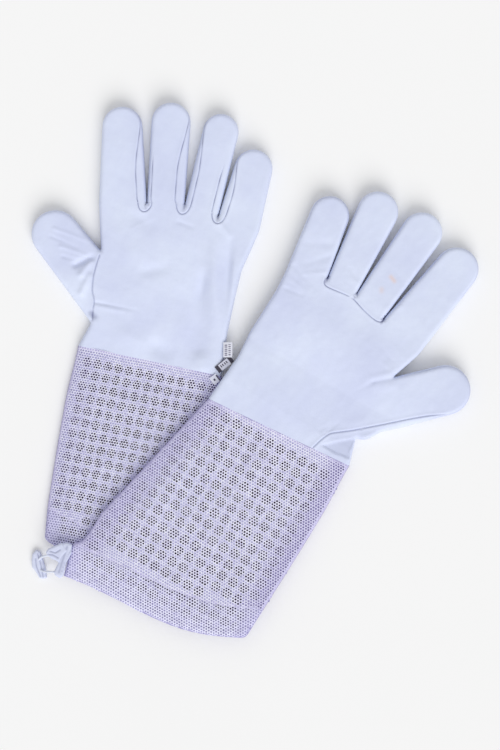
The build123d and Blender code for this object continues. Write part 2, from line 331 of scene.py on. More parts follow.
def beside(row, boundary, least):
    """The points of a row that lie inside an outline, at least so far from it."""
    return row[inside(row, boundary) & (path_distance(row, boundary, True) > least)]


def away_from(points, paths, least):
    """The points that are further than least from every path."""
    for path in paths:
        points = points[path_distance(points, path) > least]
    return points


SEAM_ROWS = (0, 0.4, -0.4, 0.9, -0.9, 1.7, -1.7)  # rows of points along a seam


def plan_mesh(boundary, cuts, seams, edge_rows, pitch, wrist_count):
    """Triangles over an outline, finer along its side edges and along seams."""
    sides = np.concatenate([boundary[wrist_count - 1 :], boundary[:1]])
    edge_points = [
        beside(row[k % 2 :], boundary, edge_rows[k] * 0.86) for k, row in enumerate(offset_rows(sides, edge_rows))
    ]
    edge_points = away_from(away_from(np.concatenate(edge_points), cuts, 0.45), seams, 2.0)
    seam_rows = [row for seam in seams for row in offset_rows(resample(seam, 1.1), SEAM_ROWS)]
    seam_points = [beside(row, boundary, 0.35) for row in seam_rows]
    seam_points = away_from(np.concatenate(seam_points), cuts, 0.3)
    grid = beside(hex_points(boundary.min(0), boundary.max(0), pitch), boundary, pitch * 0.7)
    grid = away_from(away_from(grid, [sides], edge_rows[-1] + pitch * 0.6), cuts, pitch * 0.6)
    grid = away_from(grid, seams, 2.3)
    edges = [(k, (k + 1) % len(boundary)) for k in range(len(boundary))]
    points = [boundary]
    count = len(boundary)
    for cut in cuts:
        first = int(np.linalg.norm(boundary - cut[0], axis=1).argmin())
        last = int(np.linalg.norm(boundary - cut[-1], axis=1).argmin())
        middle = resample([boundary[first], boundary[last]], pitch)[1:-1]
        chain = [first, *range(count, count + len(middle)), last]
        edges += list(zip(chain[:-1], chain[1:]))
        points.append(middle)
        count += len(middle)
    points += [seam_points, edge_points, grid]
    return triangulate(np.concatenate(points), edges, lambda centres: inside(centres, boundary))


# ---------------------------------------------------------------- Blender pieces
def add_object(name, data):
    """An object in the scene for a mesh, curve, light or camera."""
    piece = bpy.data.objects.new(name, data)
    bpy.context.scene.collection.objects.link(piece)
    return piece


def add_mesh(name, verts, faces, normals=None, **values):
    """A mesh object from world points; values are numbers stored on its points."""
    mesh = bpy.data.meshes.new(name)
    mesh.from_pydata(np.asarray(verts).tolist(), [], np.asarray(faces).tolist())
    for key, value in values.items():
        attribute = mesh.attributes.new(key, "FLOAT", "POINT")
        attribute.data.foreach_set("value", np.asarray(value, np.float32))
    mesh.polygons.foreach_set("use_smooth", np.ones(len(mesh.polygons), bool))
    if normals is not None:
        mesh.normals_split_custom_set_from_vertices(np.asarray(normals).tolist())
    mesh.update()
    return add_object(name, mesh)


def point_normals(verts, faces):
    """Smooth normals, weighted by the faces' areas."""
    a, b, c = (verts[faces[:, k]] for k in range(3))
    face = np.cross(b - a, c - a)
    normals = np.zeros_like(verts)
    for k in range(3):
        np.add.at(normals, faces[:, k], face)
    return normals / np.maximum(np.linalg.norm(normals, axis=1), 1e-12)[:, None]


def add_used(name, verts, faces, normals, values):
    """A mesh of the faces and only the points that they use."""
    used, again = np.unique(faces, return_inverse=True)
    faces = again.reshape(faces.shape)
    normals = point_normals(verts[used], faces) if normals is None else normals[used]
    return add_mesh(name, verts[used], faces, normals, **{key: value[used] for key, value in values.items()})


def turned(side, faces, up):
    """Faces wound so that they look outwards."""
    flip = (MIRROR[side] < 0) ^ (not up)
    return faces[:, ::-1] if flip else faces


def both_skins(side, plan, faces, under, top):
    """The points and faces of a top and an underside that share one plan."""
    verts = np.concatenate([to_world(side, plan, top), to_world(side, plan, under)])
    return verts, np.concatenate([turned(side, faces, True), turned(side, faces, False) + len(plan)])


def sewn(d):
    """For each point of two skins, the point that it becomes when the edges, where d is 0, are joined."""
    count = len(d)
    return np.concatenate([np.arange(count), np.where(d < 1e-3, np.arange(count), np.arange(count) + count)])


def fit_out(piece, material, body=None, node=None):
    """A piece's material and slot, the body that it rides on and the CAD node that it stands for."""
    piece.data.materials.append(material)
    if body:
        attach(piece, body)
    if node:
        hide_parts(node)


def waves(plan, seed, longest, shortest, count):
    """A soft uneven surface, as a sum of waves."""
    rng = np.random.default_rng(seed)
    total = np.zeros(len(plan))
    for _ in range(count):
        length = rng.uniform(shortest, longest)
        angle = rng.uniform(0, 2 * math.pi)
        way = np.array([math.cos(angle), math.sin(angle)]) * 2 * math.pi / length
        total += np.sin(plan @ way + rng.uniform(0, 6.3))
    return total / math.sqrt(count)


# ---------------------------------------------------------------- the camera
CAMERA_OVER = (-0.003735, -0.005169)  # the point that it looks straight down on
CAMERA_HEIGHT = 2.0
PICTURE_HEIGHT = 0.75  # what the camera sees at the surface, in metres
SENSOR = 36


def make_camera():
    data = bpy.data.cameras.new("camera")
    camera = add_object("camera", data)
    camera.location = (*CAMERA_OVER, CAMERA_HEIGHT)
    data.lens = SENSOR * CAMERA_HEIGHT / PICTURE_HEIGHT
    bpy.context.scene.camera = camera


make_camera()


# ---------------------------------------------------------------- the pull's elastic
CORD_POINTS = (  # across the upper wrist's plan in mm, and the height above the surface
    (-131.8, -215.3, 17.0),
    (-138.7, -221.4, 12.5),
    (-143.8, -227.5, 5.8),
    (-143.6, -234.9, 3.4),
    (-137.3, -238.8, 4.2),
    (-130.4, -236.2, 9.4),
    (-123.9, -231.4, 15.5),
)
CORD_DIAMETER = 0.002


def seen_point(x, y, height):
    """A point given in the upper wrist's frame as seen from above."""
    return to_world("upper", np.array([[-x, y]]), np.array([height]))[0]


def make_cord():
    """The elastic loop out of the upper glove's tab."""
    curve = bpy.data.curves.new("pull_elastic", "CURVE")
    curve.dimensions = "3D"
    curve.resolution_u = 24
    curve.bevel_depth = CORD_DIAMETER / 2
    curve.bevel_resolution = 5
    curve.use_fill_caps = True
    spline = curve.splines.new("NURBS")
    spline.points.add(len(CORD_POINTS) - 1)
    for point, place in zip(spline.points, CORD_POINTS):
        point.co = (*seen_point(*place), 1)
    spline.order_u = 3
    spline.use_endpoint_u = True
    return add_object("pull_elastic", curve)


CORD = make_cord()


# ---------------------------------------------------------------- seams of the leather
def finger_edges(glove, digit):
    """The two straight sides of a digit, from its hinge line to where its tip's arc starts."""
    a, b = hinge_ends(glove, digit)
    ta, tb, _ = digit_path(glove, digit)
    return (a, ta), (b, tb)


def inside_edge(glove, digit, which, inset, reach, close):
    """A line up one side of a digit, an inset inside its edge, which comes to the edge near the tip."""
    base, tip = finger_edges(glove, digit)[which]
    arc = digit_path(glove, digit)[2]
    round_tip = arc[:12] if which == 0 else arc[::-1][:12]
    path = resample(np.vstack([base, tip, round_tip[1:]]), 1.5)
    path = path[: max(6, int(len(path) * reach))]
    t = np.linspace(0, reach, len(path))
    width = inset * (1 - close * smoothstep(0.3, 1.0, t)) + 0.3
    return offset_rows(path, [1.0 if which == 0 else -1.0])[0] * width[:, None] + path * (1 - width[:, None])


def loop_seam(glove, place, left, right, depth, left_leg, right_leg):
    """A seam down one finger's side, round a crotch and up the next finger's side."""
    x, y = glove["knuckles"][place]
    turn = np.linspace(math.pi, 2 * math.pi, 15)
    half = (left + right) / 2
    middle = x + (right - left) / 2
    arc = np.stack([middle + half * np.cos(turn), y + depth * 0.35 + depth * 1.35 * np.sin(turn)], 1)
    path = np.concatenate([left_leg[::-1][:-2], arc, right_leg[2:]])
    return smooth_open(path, 3)


def smooth_open(path, passes):
    """An open path with its small corners rounded off; its ends stay."""
    path = path.copy()
    for _ in range(passes):
        path[1:-1] = (path[:-2] + path[1:-1] * 2 + path[2:]) / 4
    return path


def back_seams(glove):
    """The three seams round the crotches, where the back is one piece with the finger backs."""
    legs = {
        ("index", 0): (9.0, 1.0, 1.0),
        ("middle", 1): (3.5, 0.55, 0.3),
        ("middle", 0): (9.5, 1.0, 1.0),
        ("ring", 1): (6.0, 1.0, 1.0),
        ("ring", 0): (7.0, 0.55, 0.4),
        ("little", 1): (7.0, 1.0, 1.0),
    }
    path = {key: inside_edge(glove, key[0], key[1], *value) for key, value in legs.items()}
    rows = ((9.4, 5.5, 8.6), (8.6, 6.3, 9.2), (6.9, 7.2, 8.0))  # each crotch's seam: left, right and down
    return [
        loop_seam(glove, place, *rows[place - 1], path[(FINGERS[place - 1], 0)], path[(FINGERS[place], 1)])
        for place in (1, 2, 3)
    ]


def palm_seams():
    """The seams across the bases of the two middle fingers, on the palm side."""
    ring = (
        (34.5, 157.5), (36.4, 155.5), (36.6, 152), (34.3, 149.2), (30, 148.8), (21.7, 149.9), (14, 151), (8.5, 151.6),
        (5.6, 151.4),
    )
    middle = (
        (4.5, 151.6), (2.2, 151.5), (0.2, 150.8), (-10, 147.5), (-21.8, 144.7), (-28, 143.9), (-31.5, 144.4),
        (-34.2, 146.6), (-34.6, 149.2), (-33.2, 151),
    )
    return [smooth_open(resample(path, 1.2), 3) for path in (ring, middle)]


def thumb_seams(side):
    """The seam of the thumb, on the face that is up."""
    path = {
        "lower": ((-70.2, 93), (-71.4, 84), (-72, 72), (-70.5, 57), (-65.5, 46.5), (-66, 38), (-64, 29)),
        "upper": (
            (-133, 97.5), (-119, 87.8), (-106.3, 77.2), (-91.9, 64.3), (-78, 52), (-61.2, 37.4), (-43.9, 24.4),
            (-39.5, 14), (-36.4, 3),
        ),
    }[side]
    return smooth_open(resample(path, 1.2), 8)


def groove(d, depth=0.8, width=0.45):
    """A sewn seam: a sharp line with the leather rolled up beside it."""
    return -depth * np.exp(-((d / width) ** 2)) + 0.4 * depth * np.exp(-(((d - 1.7) / 1.0) ** 2))


def seam_distance(plan, seam, reach):
    """The distance to a seam, and a weight that falls to 0 where the seam runs out."""
    d, which = segment_distance(plan, seam[:-1], seam[1:])
    runs = np.linalg.norm(np.diff(seam, axis=0), axis=1)
    along = np.cumsum(runs)[which]
    return d, smoothstep(0, reach, np.minimum(along, runs.sum() - along))


LONG_FOLD, FINE_FOLD = 25, 2  # a fold that is longer and wider than this fades at both ends


def ridges(plan, rows):
    """Soft folds and creases: each row is two ends, a width, a height and how far it fades."""
    total = np.zeros(len(plan))
    for a, b, width, height, fade in rows:
        fold = height * bump(plan, a, b, width, fade)
        if math.dist(a, b) > LONG_FOLD and width > FINE_FOLD:
            along = (plan - np.array(a)) @ (np.array(b) - np.array(a)) / math.dist(a, b) ** 2
            fold *= smoothstep(-0.15, 0.4, along) * smoothstep(1.15, 0.6, along)
        total += fold
    return total


LOWER_FOLDS = (  # the back of the lower glove
    ((38, 132), (58, 46), 7.5, 1.3, 0.2),
    ((46, 128), (58, 62), 5.0, -0.9, 0.3),
    ((53, 136), (66, 58), 4.4, -1.1, 0.3),
    ((61, 124), (67, 66), 3.4, 0.8, 0.3),
    ((34, 100), (38, 66), 4.5, -0.9, 0.4),
    ((30, 95), (47, 12), 11, -1.3, 0.2),
    ((47, 20), (55, -4), 9, 1.2, 0.0),
    ((-30, 83), (2, 96), 6, -0.8, 0.4),
    ((-52, 98), (-18, 106), 10, 0.45, 0.3),
    ((14, 78), (26, 40), 7, -0.6, 0.3),
    ((-64, 45.7), (-22, 46.5), 1.6, -0.55, 0.9),
    ((-64, 42.7), (-22, 43.5), 2.6, 0.5, 0.9),
    ((-5, 18), (22, 10), 8, -1.2, 0.3),
    ((-40, 22), (0, 14), 9, 0.7, 0.3),
    ((-120, 109), (-84, 104), 1.3, 0.35, 0.5),
    ((-122, 101), (-92, 95), 1.3, -0.35, 0.6),
    ((-110, 93), (-84, 90), 1.4, 0.4, 0.5),
    ((-106, 84), (-84, 82), 1.5, -0.35, 0.6),
    ((-92, 78), (-78, 88), 3.0, -1.3, 0.2),
    ((-84, 70), (-78, 84), 3.5, 1.2, 0.3),
    ((-80, 52), (-76, 70), 3.5, 0.9, 0.2),
    ((-50, 140), (-20, 128), 6, -0.6, 0.4),
    ((0, 141), (14, 139), 2.2, -0.35, 0.3),
    ((-45, 125), (-25, 140), 1.4, 0.12, 0.5),
    ((40, 148), (52, 138), 3, 0.5, 0.4),
)
UPPER_FOLDS = (  # the palm of the upper glove
    ((-71, 103.3), (-56, 90), 1.7, -1.1, 0.2),
    ((-56, 90), (-46, 74), 1.9, -0.7, 0.8),
    ((-66, 106), (-52, 93), 3.0, 1.2, 0.5),
    ((-74, 96), (-60, 86), 4.0, 0.9, 0.5),
    ((70, 150), (46, 143), 2.4, -0.9, 0.5),
    ((72, 138), (42, 134), 2.2, 0.8, 0.5),
    ((66, 127), (48, 129), 1.8, -0.9, 0.4),
    ((40, 160), (58, 148), 2.2, 0.8, 0.4),
    ((44, 176), (60, 158), 3.0, -0.8, 0.4),
    ((50, 187), (72, 176), 4.0, -0.7, 0.3),
    ((20, 176), (8, 170), 2.4, -0.7, 0.3),
    ((-2, 170), (18, 166), 2.8, 0.6, 0.4),
    ((-20, 196), (-34, 190), 2.4, -0.5, 0.4),
    ((-42, 168), (-30, 160), 3.2, 0.6, 0.4),
    ((-62, 118), (-44, 124), 2.6, -0.6, 0.6),
    ((-66, 110), (-48, 112), 2.4, 0.6, 0.6),
    ((-68, 126), (-50, 134), 3.0, 0.5, 0.6),
    ((-40, 21), (-47, 38), 1.2, -0.9, 0.6),
    ((-34, 22), (-43, 34), 2.2, -0.6, 0.5),
    ((-22, 20), (-50, 12), 9, 0.8, 0.3),
    ((-52, 40), (-76, 58), 7, 1.3, 0.3),
    ((72, 40), (76, 100), 10, -0.8, 0.3),
    ((0, 60), (30, 10), 16, 0.8, 0.3),
    ((0, 122), (-4, 117), 1.4, -0.25, 0.3),
)
FOLDS = {"lower": (LOWER_FOLDS, 2.3), "upper": (UPPER_FOLDS, 0.75)}  # and how strongly they stand out
THUMB_HOLLOW = np.array(
    [(-41.5, 9.6), (-54.9, 22.3), (-66.6, 32), (-69.8, 31), (-70.5, 20), (-74.5, 11.6), (-56, 8.8)]
)


def relief(side, plan, seams, thumb, face_up):
    """How far the leather stands out from its plain shape, and how dark it is: seam lines, and painted shade in its
    dents and hollows.
    """
    seed = face_up + 5 * (side == "upper")
    bulge = waves(plan, 3 + seed, 70, 26, 9) * 0.28
    bulge += waves(plan, 23 + seed, 22, 9, 12) * 0.07
    dark = np.zeros(len(plan))
    if not face_up:
        return bulge, dark
    for seam in seams:
        d, weight = seam_distance(plan, seam, 14 if side == "lower" else 2.5)
        bulge += groove(d) * weight
        uneven = 0.62 + 0.22 * np.sin(plan[:, 1] * 0.31 + plan[:, 0] * 0.17)
        dark += uneven * weight * np.exp(-((d / 0.42) ** 2))
    d = path_distance(plan, thumb)
    bulge += groove(d, 0.9 if side == "upper" else 0.7, 0.6)
    dark += (0.25 if side == "upper" else 0.45) * np.exp(-((d / 0.7) ** 2))
    rows, strength = FOLDS[side]
    bulge += ridges(plan, rows) * strength
    if side == "lower":
        # a small dent by the thumb's seam, darkened with painted shade
        spot = bump(plan, (-67, 35), (-63, 32), 3.0)
        dark += 0.5 * spot
        bulge -= 1.4 * spot
    else:
        # the hollow under the thumb is sunk and darkened with painted shade, and a thin line of painted shade lies
        # beside the bump next to it
        hollow = inside(plan, THUMB_HOLLOW) * smoothstep(0, 1.6, path_distance(plan, THUMB_HOLLOW, True))
        bulge -= 1.5 * hollow
        dark += 0.16 * hollow
        bulge += 1.0 * bump(plan, (-76, 37), (-84, 45), 3.5)
        dark += 0.1 * bump(plan, (-74, 34), (-80, 38), 2.5)
    return bulge, dark


def crotch_dimples(side, plan):
    """The small folds just below each crotch, which are sunk and darkened with painted shade."""
    dark = np.zeros(len(plan))
    for place in (1, 2, 3):
        x, y = GLOVE[side]["knuckles"][place]
        dark += bump(plan, (x, y + 1), (x, y - (4.5 if side == "lower" else 3.5)), 1.1, 0.5)
    return dark


def edge_stitches(side, plan, d):
    """The sewn line just inside the edge, round the tips that lie flat on their side."""
    if side == "lower":
        return np.zeros(len(plan))
    near = np.zeros(len(plan))
    for digit in ("index", "thumb", "little"):
        centre, radius = GLOVE[side]["tips"][digit]
        from_tip = np.linalg.norm(plan - np.array(centre), axis=1)
        near = np.maximum(near, smoothstep(radius + 14, radius + 2, from_tip))
    return near * np.exp(-(((d - 1.25) / 0.4) ** 2))


# ---------------------------------------------------------------- the leather hands
EDGE_ROWS = (0.25, 0.7, 1.2, 1.8, 3.0)
GRID = 1.6


def chain_between(boundary, a, b):
    """The outline's points from a to b, anticlockwise."""
    first = int(np.linalg.norm(boundary - a, axis=1).argmin())
    last = int(np.linalg.norm(boundary - b, axis=1).argmin())
    count = (last - first) % len(boundary) + 1
    return boundary[(first + np.arange(count)) % len(boundary)]


def hand_mesh(side):
    """The leather hand as one skin, top and underside, with what each point and face is."""
    glove = GLOVE[side]
    boundary, wrist_count = silhouette(glove)
    cuts = [hinge_ends(glove, digit) for digit in ("thumb", *FINGERS)]
    seams = back_seams(glove) if side == "lower" else palm_seams()
    thumb = thumb_seams(side)
    plan, faces = plan_mesh(boundary, cuts, [*seams, thumb], EDGE_ROWS, GRID, wrist_count)
    sides = np.concatenate([boundary[wrist_count - 1 :], boundary[:1]])
    d = path_distance(plan, sides)
    low, high = shape_of(side, plan, d)
    fade = smoothstep(0.2, 3.0, d)
    bulge_up, dark_up = relief(side, plan, seams, thumb, True)
    bulge_down, dark_down = relief(side, plan, seams, thumb, False)
    high = high + bulge_up * fade
    low = np.maximum(low - bulge_down * fade * 0.5, 0.1 if side == "lower" else -9)
    dimple = crotch_dimples(side, plan)
    high = high - 0.8 * dimple * fade
    stitched = edge_stitches(side, plan, d)
    high = high - 0.35 * stitched
    # painted shade in the crotch folds, and the darker stitched line near the edge
    dark_up = np.clip(dark_up + dimple * (0.65 if side == "lower" else 1.0) + 0.3 * stitched, 0, 1)
    verts, whole = both_skins(side, plan, faces, low, high)
    merged = sewn(d)
    normals = point_normals(verts, merged[whole])[merged]
    stain = np.zeros(len(plan))
    if side == "upper":
        stain = bump(plan, (-24, 187), (-19, 189), 2.0) + 0.6 * bump(plan, (-18, 172), (-17, 174), 2.2)
    values = {"dark": np.concatenate([dark_up, dark_down]), "stain": np.concatenate([stain, stain * 0])}
    return boundary, verts, whole, normals, values, plan[faces].mean(1)


def strip_faces(glove, digit, centres):
    """The faces along a finger's sides, which are its side strips."""
    sides = {"index": (0,), "middle": (0, 1), "ring": (0, 1), "little": (1,), "thumb": ()}[digit]
    found = np.zeros(len(centres), bool)
    for which in sides:
        base, tip = finger_edges(glove, digit)[which]
        found |= segment_distance(centres, base[None], tip[None])[0] < 1.0
    return found


def make_hand(side, leather):
    """A glove's leather, cut into the panels, digits and side strips of the CAD model."""
    glove = GLOVE[side]
    boundary, verts, faces, normals, values, centres = hand_mesh(side)
    top = np.arange(len(faces)) < len(centres)
    rest = np.ones(len(centres), bool)

    def add_leather(name, chosen, node, body=None):
        piece = add_used(f"{side}_{name}_leather", verts, faces[chosen], normals, values)
        fit_out(piece, leather, body, f"{side}_{node}")
        return piece

    up, down = ("back", "front") if side == "lower" else ("front", "back")
    for digit in ("thumb", *FINGERS):
        a, b = hinge_ends(glove, digit)
        ring = chain_between(boundary, a, b)
        here = rest & inside(centres, ring)
        rest &= ~here
        strip = here & strip_faces(glove, digit, centres)
        both = np.concatenate([here & ~strip, here & ~strip])
        groups = [(up, both & top), (down, both & ~top)]
        if strip.any():
            groups.append(("fourchette", np.concatenate([strip, strip])))
        for name, chosen in groups:
            piece = add_leather(f"{digit}_{name}", chosen, f"{digit}_{name}")
            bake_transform(piece)
    up, down = ("back", "palm") if side == "lower" else ("palm", "back")
    both = np.concatenate([rest, rest])
    for name, chosen in ((up, both & top), (down, both & ~top)):
        add_leather(name, chosen, f"{name}_panel", f"{side}_hand")


# ---------------------------------------------------------------- materials
class Nodes:
    """Short ways to make a node material."""

    def __init__(self, name):
        self.material = bpy.data.materials.new(name)
        self.material.use_nodes = True
        self.tree = self.material.node_tree
        self.shader = self.tree.nodes["Principled BSDF"]
        self.place = self.add("ShaderNodeTexCoord").outputs["Object"]

    def add(self, kind, **settings):
        node = self.tree.nodes.new(kind)
        for key, value in settings.items():
            setattr(node, key, value)
        return node

    def link(self, source, target):
        self.tree.links.new(source, target)

    def texture(self, kind, sockets, output, **settings):
        """A texture node on the object's own coordinates."""
        node = self.add(kind, **settings)
        for name, value in sockets.items():
            node.inputs[name].default_value = value
        self.link(self.place, node.inputs["Vector"])
        return node.outputs[output]

    def noise(self, scale, detail=3.0, rough=0.55):
        sockets = {"Scale": scale, "Detail": detail, "Roughness": rough}
        return self.texture("ShaderNodeTexNoise", sockets, "Fac")

    def voronoi(self, scale, feature="F1"):
        return self.texture("ShaderNodeTexVoronoi", {"Scale": scale}, "Distance", feature=feature)

    def wave(self, scale, distortion, direction):
        sockets = {"Scale": scale, "Distortion": distortion}
        return self.texture("ShaderNodeTexWave", sockets, "Fac", wave_type="BANDS", bands_direction=direction)

    def value(self, name):
        return self.add("ShaderNodeAttribute", attribute_name=name).outputs["Fac"]

    def math(self, operation, a, b=None, clamp=False):
        node = self.add("ShaderNodeMath", operation=operation, use_clamp=clamp)
        for k, value in enumerate((a, b)):
            if value is None:
                continue
            if isinstance(value, (int, float)):
                node.inputs[k].default_value = value
            else:
                self.link(value, node.inputs[k])
        return node.outputs[0]

    def range(self, value, low, high, out_low, out_high):
        node = self.add("ShaderNodeMapRange")
        self.link(value, node.inputs[0])
        for k, number in enumerate((low, high, out_low, out_high)):
            node.inputs[k + 1].default_value = number
        return node.outputs[0]

    def mix(self, fac, a, b):
        node = self.add("ShaderNodeMix", data_type="RGBA")
        self.link(fac, node.inputs[0])
        for k, value in ((6, a), (7, b)):
            if isinstance(value, tuple):
                node.inputs[k].default_value = (*value, 1)
            else:
                self.link(value, node.inputs[k])
        return node.outputs[2]

    def bump(self, height, distance, strength=1.0, below=None):
        node = self.add("ShaderNodeBump")
        node.inputs["Distance"].default_value = distance
        node.inputs["Strength"].default_value = strength
        self.link(height, node.inputs["Height"])
        if below is not None:
            self.link(below, node.inputs["Normal"])
        return node.outputs["Normal"]

    def finish(self, colour, rough, normal=None, **sockets):
        """The shader's colour, roughness, normal and plain values; its sockets' names have _ for spaces."""
        self.link(colour, self.shader.inputs["Base Color"])
        if isinstance(rough, float):
            self.shader.inputs["Roughness"].default_value = rough
        else:
            self.link(rough, self.shader.inputs["Roughness"])
        if normal is not None:
            self.link(normal, self.shader.inputs["Normal"])
        for name, value in sockets.items():
            self.shader.inputs[name.replace("_", " ")].default_value = value
        return self.material


def srgb(r, g, b):
    """A colour given as on a screen, 0 to 255, in linear light."""
    def linear(c):
        c /= 255
        return c / 12.92 if c <= 0.04045 else ((c + 0.055) / 1.055) ** 2.4

    return tuple(linear(c) for c in (r, g, b))


def leather_material(name, pale, deep, seam_and_shade_colour):
    """Goatskin: clouded colour, stains, darker seams and painted shade in its folds and hollows, and a fine grain
    over broad unevenness.
    """
    n = Nodes(name)
    cloud = n.noise(14, 4)
    colour = n.mix(n.range(cloud, 0.35, 0.7, 0.0, 1.0), pale, deep)
    mottle = n.noise(160, 3)
    colour = n.mix(n.range(mottle, 0.45, 0.75, 0.0, 0.22), colour, deep)
    colour = n.mix(n.math("MULTIPLY", n.value("stain"), 0.5, True), colour, srgb(236, 196, 172))
    # the dark attribute: seam lines, and painted shade in folds, dents, hollows and pressed lines
    colour = n.mix(n.math("MULTIPLY", n.value("dark"), 1.0, True), colour, seam_and_shade_colour)
    grain = n.range(n.voronoi(1500, "DISTANCE_TO_EDGE"), 0.0, 0.28, 0.0, 1.0)
    fine = n.noise(2600, 2)
    broad = n.noise(230, 4, 0.6)
    height = n.math("ADD", n.math("MULTIPLY", grain, 0.55), n.math("MULTIPLY", fine, 0.35))
    normal = n.bump(broad, 0.0006, 0.35)
    normal = n.bump(height, 0.00012, 0.5, normal)
    rough = n.range(mottle, 0.3, 0.7, 0.5, 0.62)
    return n.finish(colour, rough, normal, Specular_IOR_Level=0.32, Sheen_Weight=0.08)


LEATHER = leather_material("white_goatskin", srgb(221, 229, 250), srgb(209, 216, 243), srgb(128, 132, 168))
for glove_side in TURN:
    make_hand(glove_side, LEATHER)


# ---------------------------------------------------------------- plan sheets with openings
def ring_of_points(count, radius, squeeze=1.0):
    """Points round the origin, anticlockwise."""
    turn = np.arange(count) * 2 * math.pi / count
    return radius * np.stack([np.cos(turn), squeeze * np.sin(turn)], 1)


HOLE_SIDES = 14


def sheet_plan(polygon, rounded, rows, pitch, holes=(), hole_radius=0.0):
    """Triangles over a polygon, finer along its rounded edges and with round openings."""
    def clear(points, radius):
        if not len(holes) or not len(points):
            return np.ones(len(points), bool)
        return np.linalg.norm(points[:, None] - holes[None], axis=2).min(1) > radius

    edges = [(k, (k + 1) % len(polygon)) for k in range(len(polygon))]
    for first in len(polygon) + np.arange(len(holes)) * HOLE_SIDES:
        edges += [(int(first) + k, int(first) + (k + 1) % HOLE_SIDES) for k in range(HOLE_SIDES)]
    points = [polygon, *(hole + ring_of_points(HOLE_SIDES, hole_radius) for hole in holes)]
    for path in rounded:
        for row in offset_rows(path, [s * r for r in rows for s in (1, -1)]):
            row = beside(row, polygon, rows[0] * 0.8)
            points.append(row[clear(row, hole_radius + 0.4)])
    grid = beside(hex_points(polygon.min(0), polygon.max(0), pitch), polygon, pitch * 0.5)
    grid = away_from(grid, rounded, rows[-1] + pitch * 0.5)
    points.append(grid[clear(grid, hole_radius + 0.7)])
    points = np.concatenate(points)
    return triangulate(points, edges, lambda at: inside(at, polygon) & clear(at, hole_radius * 0.97))


# ---------------------------------------------------------------- the gauntlets' outlines
SIDE_CURVE = {"lower": ((3.0, 0), (0, 0)), "upper": ((2.6, 0), (0, 4.5))}  # each side's bulge and pinch


def side_edge(side, place):
    """A side edge of a gauntlet from the wrist to the hem, a little curved, and where the band meets it."""
    glove = GLOVE[side]
    wrist, band, hem = (np.array(glove[line][place], float) for line in ("wrist", "band", "hem"))
    path = np.vstack([resample([wrist, band], 1.8), resample([band, hem], 1.8)[1:]])
    at = int(np.linalg.norm(path - band, axis=1).argmin())
    t = np.linspace(0, 1, len(path))
    out = left_of(unit(hem, wrist)) * (1 if place == 0 else -1)
    bulge, pinch = SIDE_CURVE[side][place]
    curve = bulge * smoothstep(0, 0.3, t) * (1 - 0.45 * smoothstep(0.45, 1, t))
    curve -= pinch * smoothstep(0.66, 0.8, t) * smoothstep(0.86, 0.815, t)
    return path + curve[:, None] * out, at


def gauntlet(side):
    """The lines that bound a gauntlet: wrist, band and hem lines, and its two side edges."""
    glove = GLOVE[side]
    wrist = resample(glove["wrist"], 2.0)
    thumb_side, at_thumb = side_edge(side, 0)
    little_side, at_little = side_edge(side, 1)
    leaning = side == "upper"
    band = bowed_line(thumb_side[at_thumb], little_side[at_little], glove["bow"] * BAND_BOW, 2.0, leaning)
    hem = bowed_line(thumb_side[-1], little_side[-1], glove["bow"], 2.0, leaning)
    corner = smooth_open(np.vstack([thumb_side[-4:], hem[1:4]]), 6)
    thumb_side = np.vstack([thumb_side[:-4], corner[:1]])
    hem = np.vstack([corner, hem[4:]])
    up_thumb_side = thumb_side[: at_thumb + 1][::-1][:-1]
    cuff = np.concatenate([wrist[:-1], little_side[:at_little], band[::-1][:-1], up_thumb_side])
    low = [little_side[at_little:], hem[::-1][1:], thumb_side[at_thumb:][::-1][1:-1], band[:-1]]
    return {
        "wrist": wrist,
        "band": band,
        "hem": hem,
        "sides": (thumb_side, little_side),
        "cuff": cuff,
        "hem_band": np.concatenate(low)[::-1],
    }


def edge_distance(lines, plan):
    """How far plan points are from the nearer side edge, which runs on a little past the wrist."""
    extended = []
    for path in lines["sides"]:
        ahead = path[0] + unit(path[1], path[0]) * 40
        extended.append(np.vstack([ahead, path]))
    return np.minimum(path_distance(plan, extended[0]), path_distance(plan, extended[1]))


def cuff_heights(side, lines, plan):
    """Each point's distance from the sides, and the heights of the gauntlet's under and top skin there."""
    d = edge_distance(lines, plan)
    low, high = shape_of(side, plan, d)
    soft = smoothstep(0.5, 9, d)
    swell = waves(plan, 51 + (side == "upper"), 90, 34, 8) * 0.32 * soft
    return d, low - swell * 0.3, high + swell


def hem_heights(side, lines, plan):
    """The puffed hem band: rounded off at the mouth, pulled in at its seam."""
    d, low, high = cuff_heights(side, lines, plan)
    e = path_distance(plan, lines["hem"])
    b = path_distance(plan, lines["band"])
    puff = (0.85 * np.sqrt(np.clip(b / 8, 0, 1)) - 0.45) * smoothstep(0.5, 8, d)
    puff -= 0.5 * np.exp(-(((e - 9) / 1.2) ** 2)) * smoothstep(1, 7, d)
    middle = low + 0.44 * (high - low)
    close = np.sqrt(np.clip(1 - (1 - np.clip(e / 4.0, 0, 1)) ** 2, 0, 1))
    ripple = 0.25 * np.sin(plan @ np.array([0.55, 0.1]) + 1.3 * np.sin(plan[:, 0] * 0.09)) * smoothstep(14, 2, e)
    top = middle + 0.7 + (high + puff - middle - 0.7) * close + ripple * smoothstep(0.5, 6, d)
    under = middle - 0.7 - (middle - 0.7 - low + puff * 0.3) * close
    return d, e, b, np.maximum(under, 0.15), top


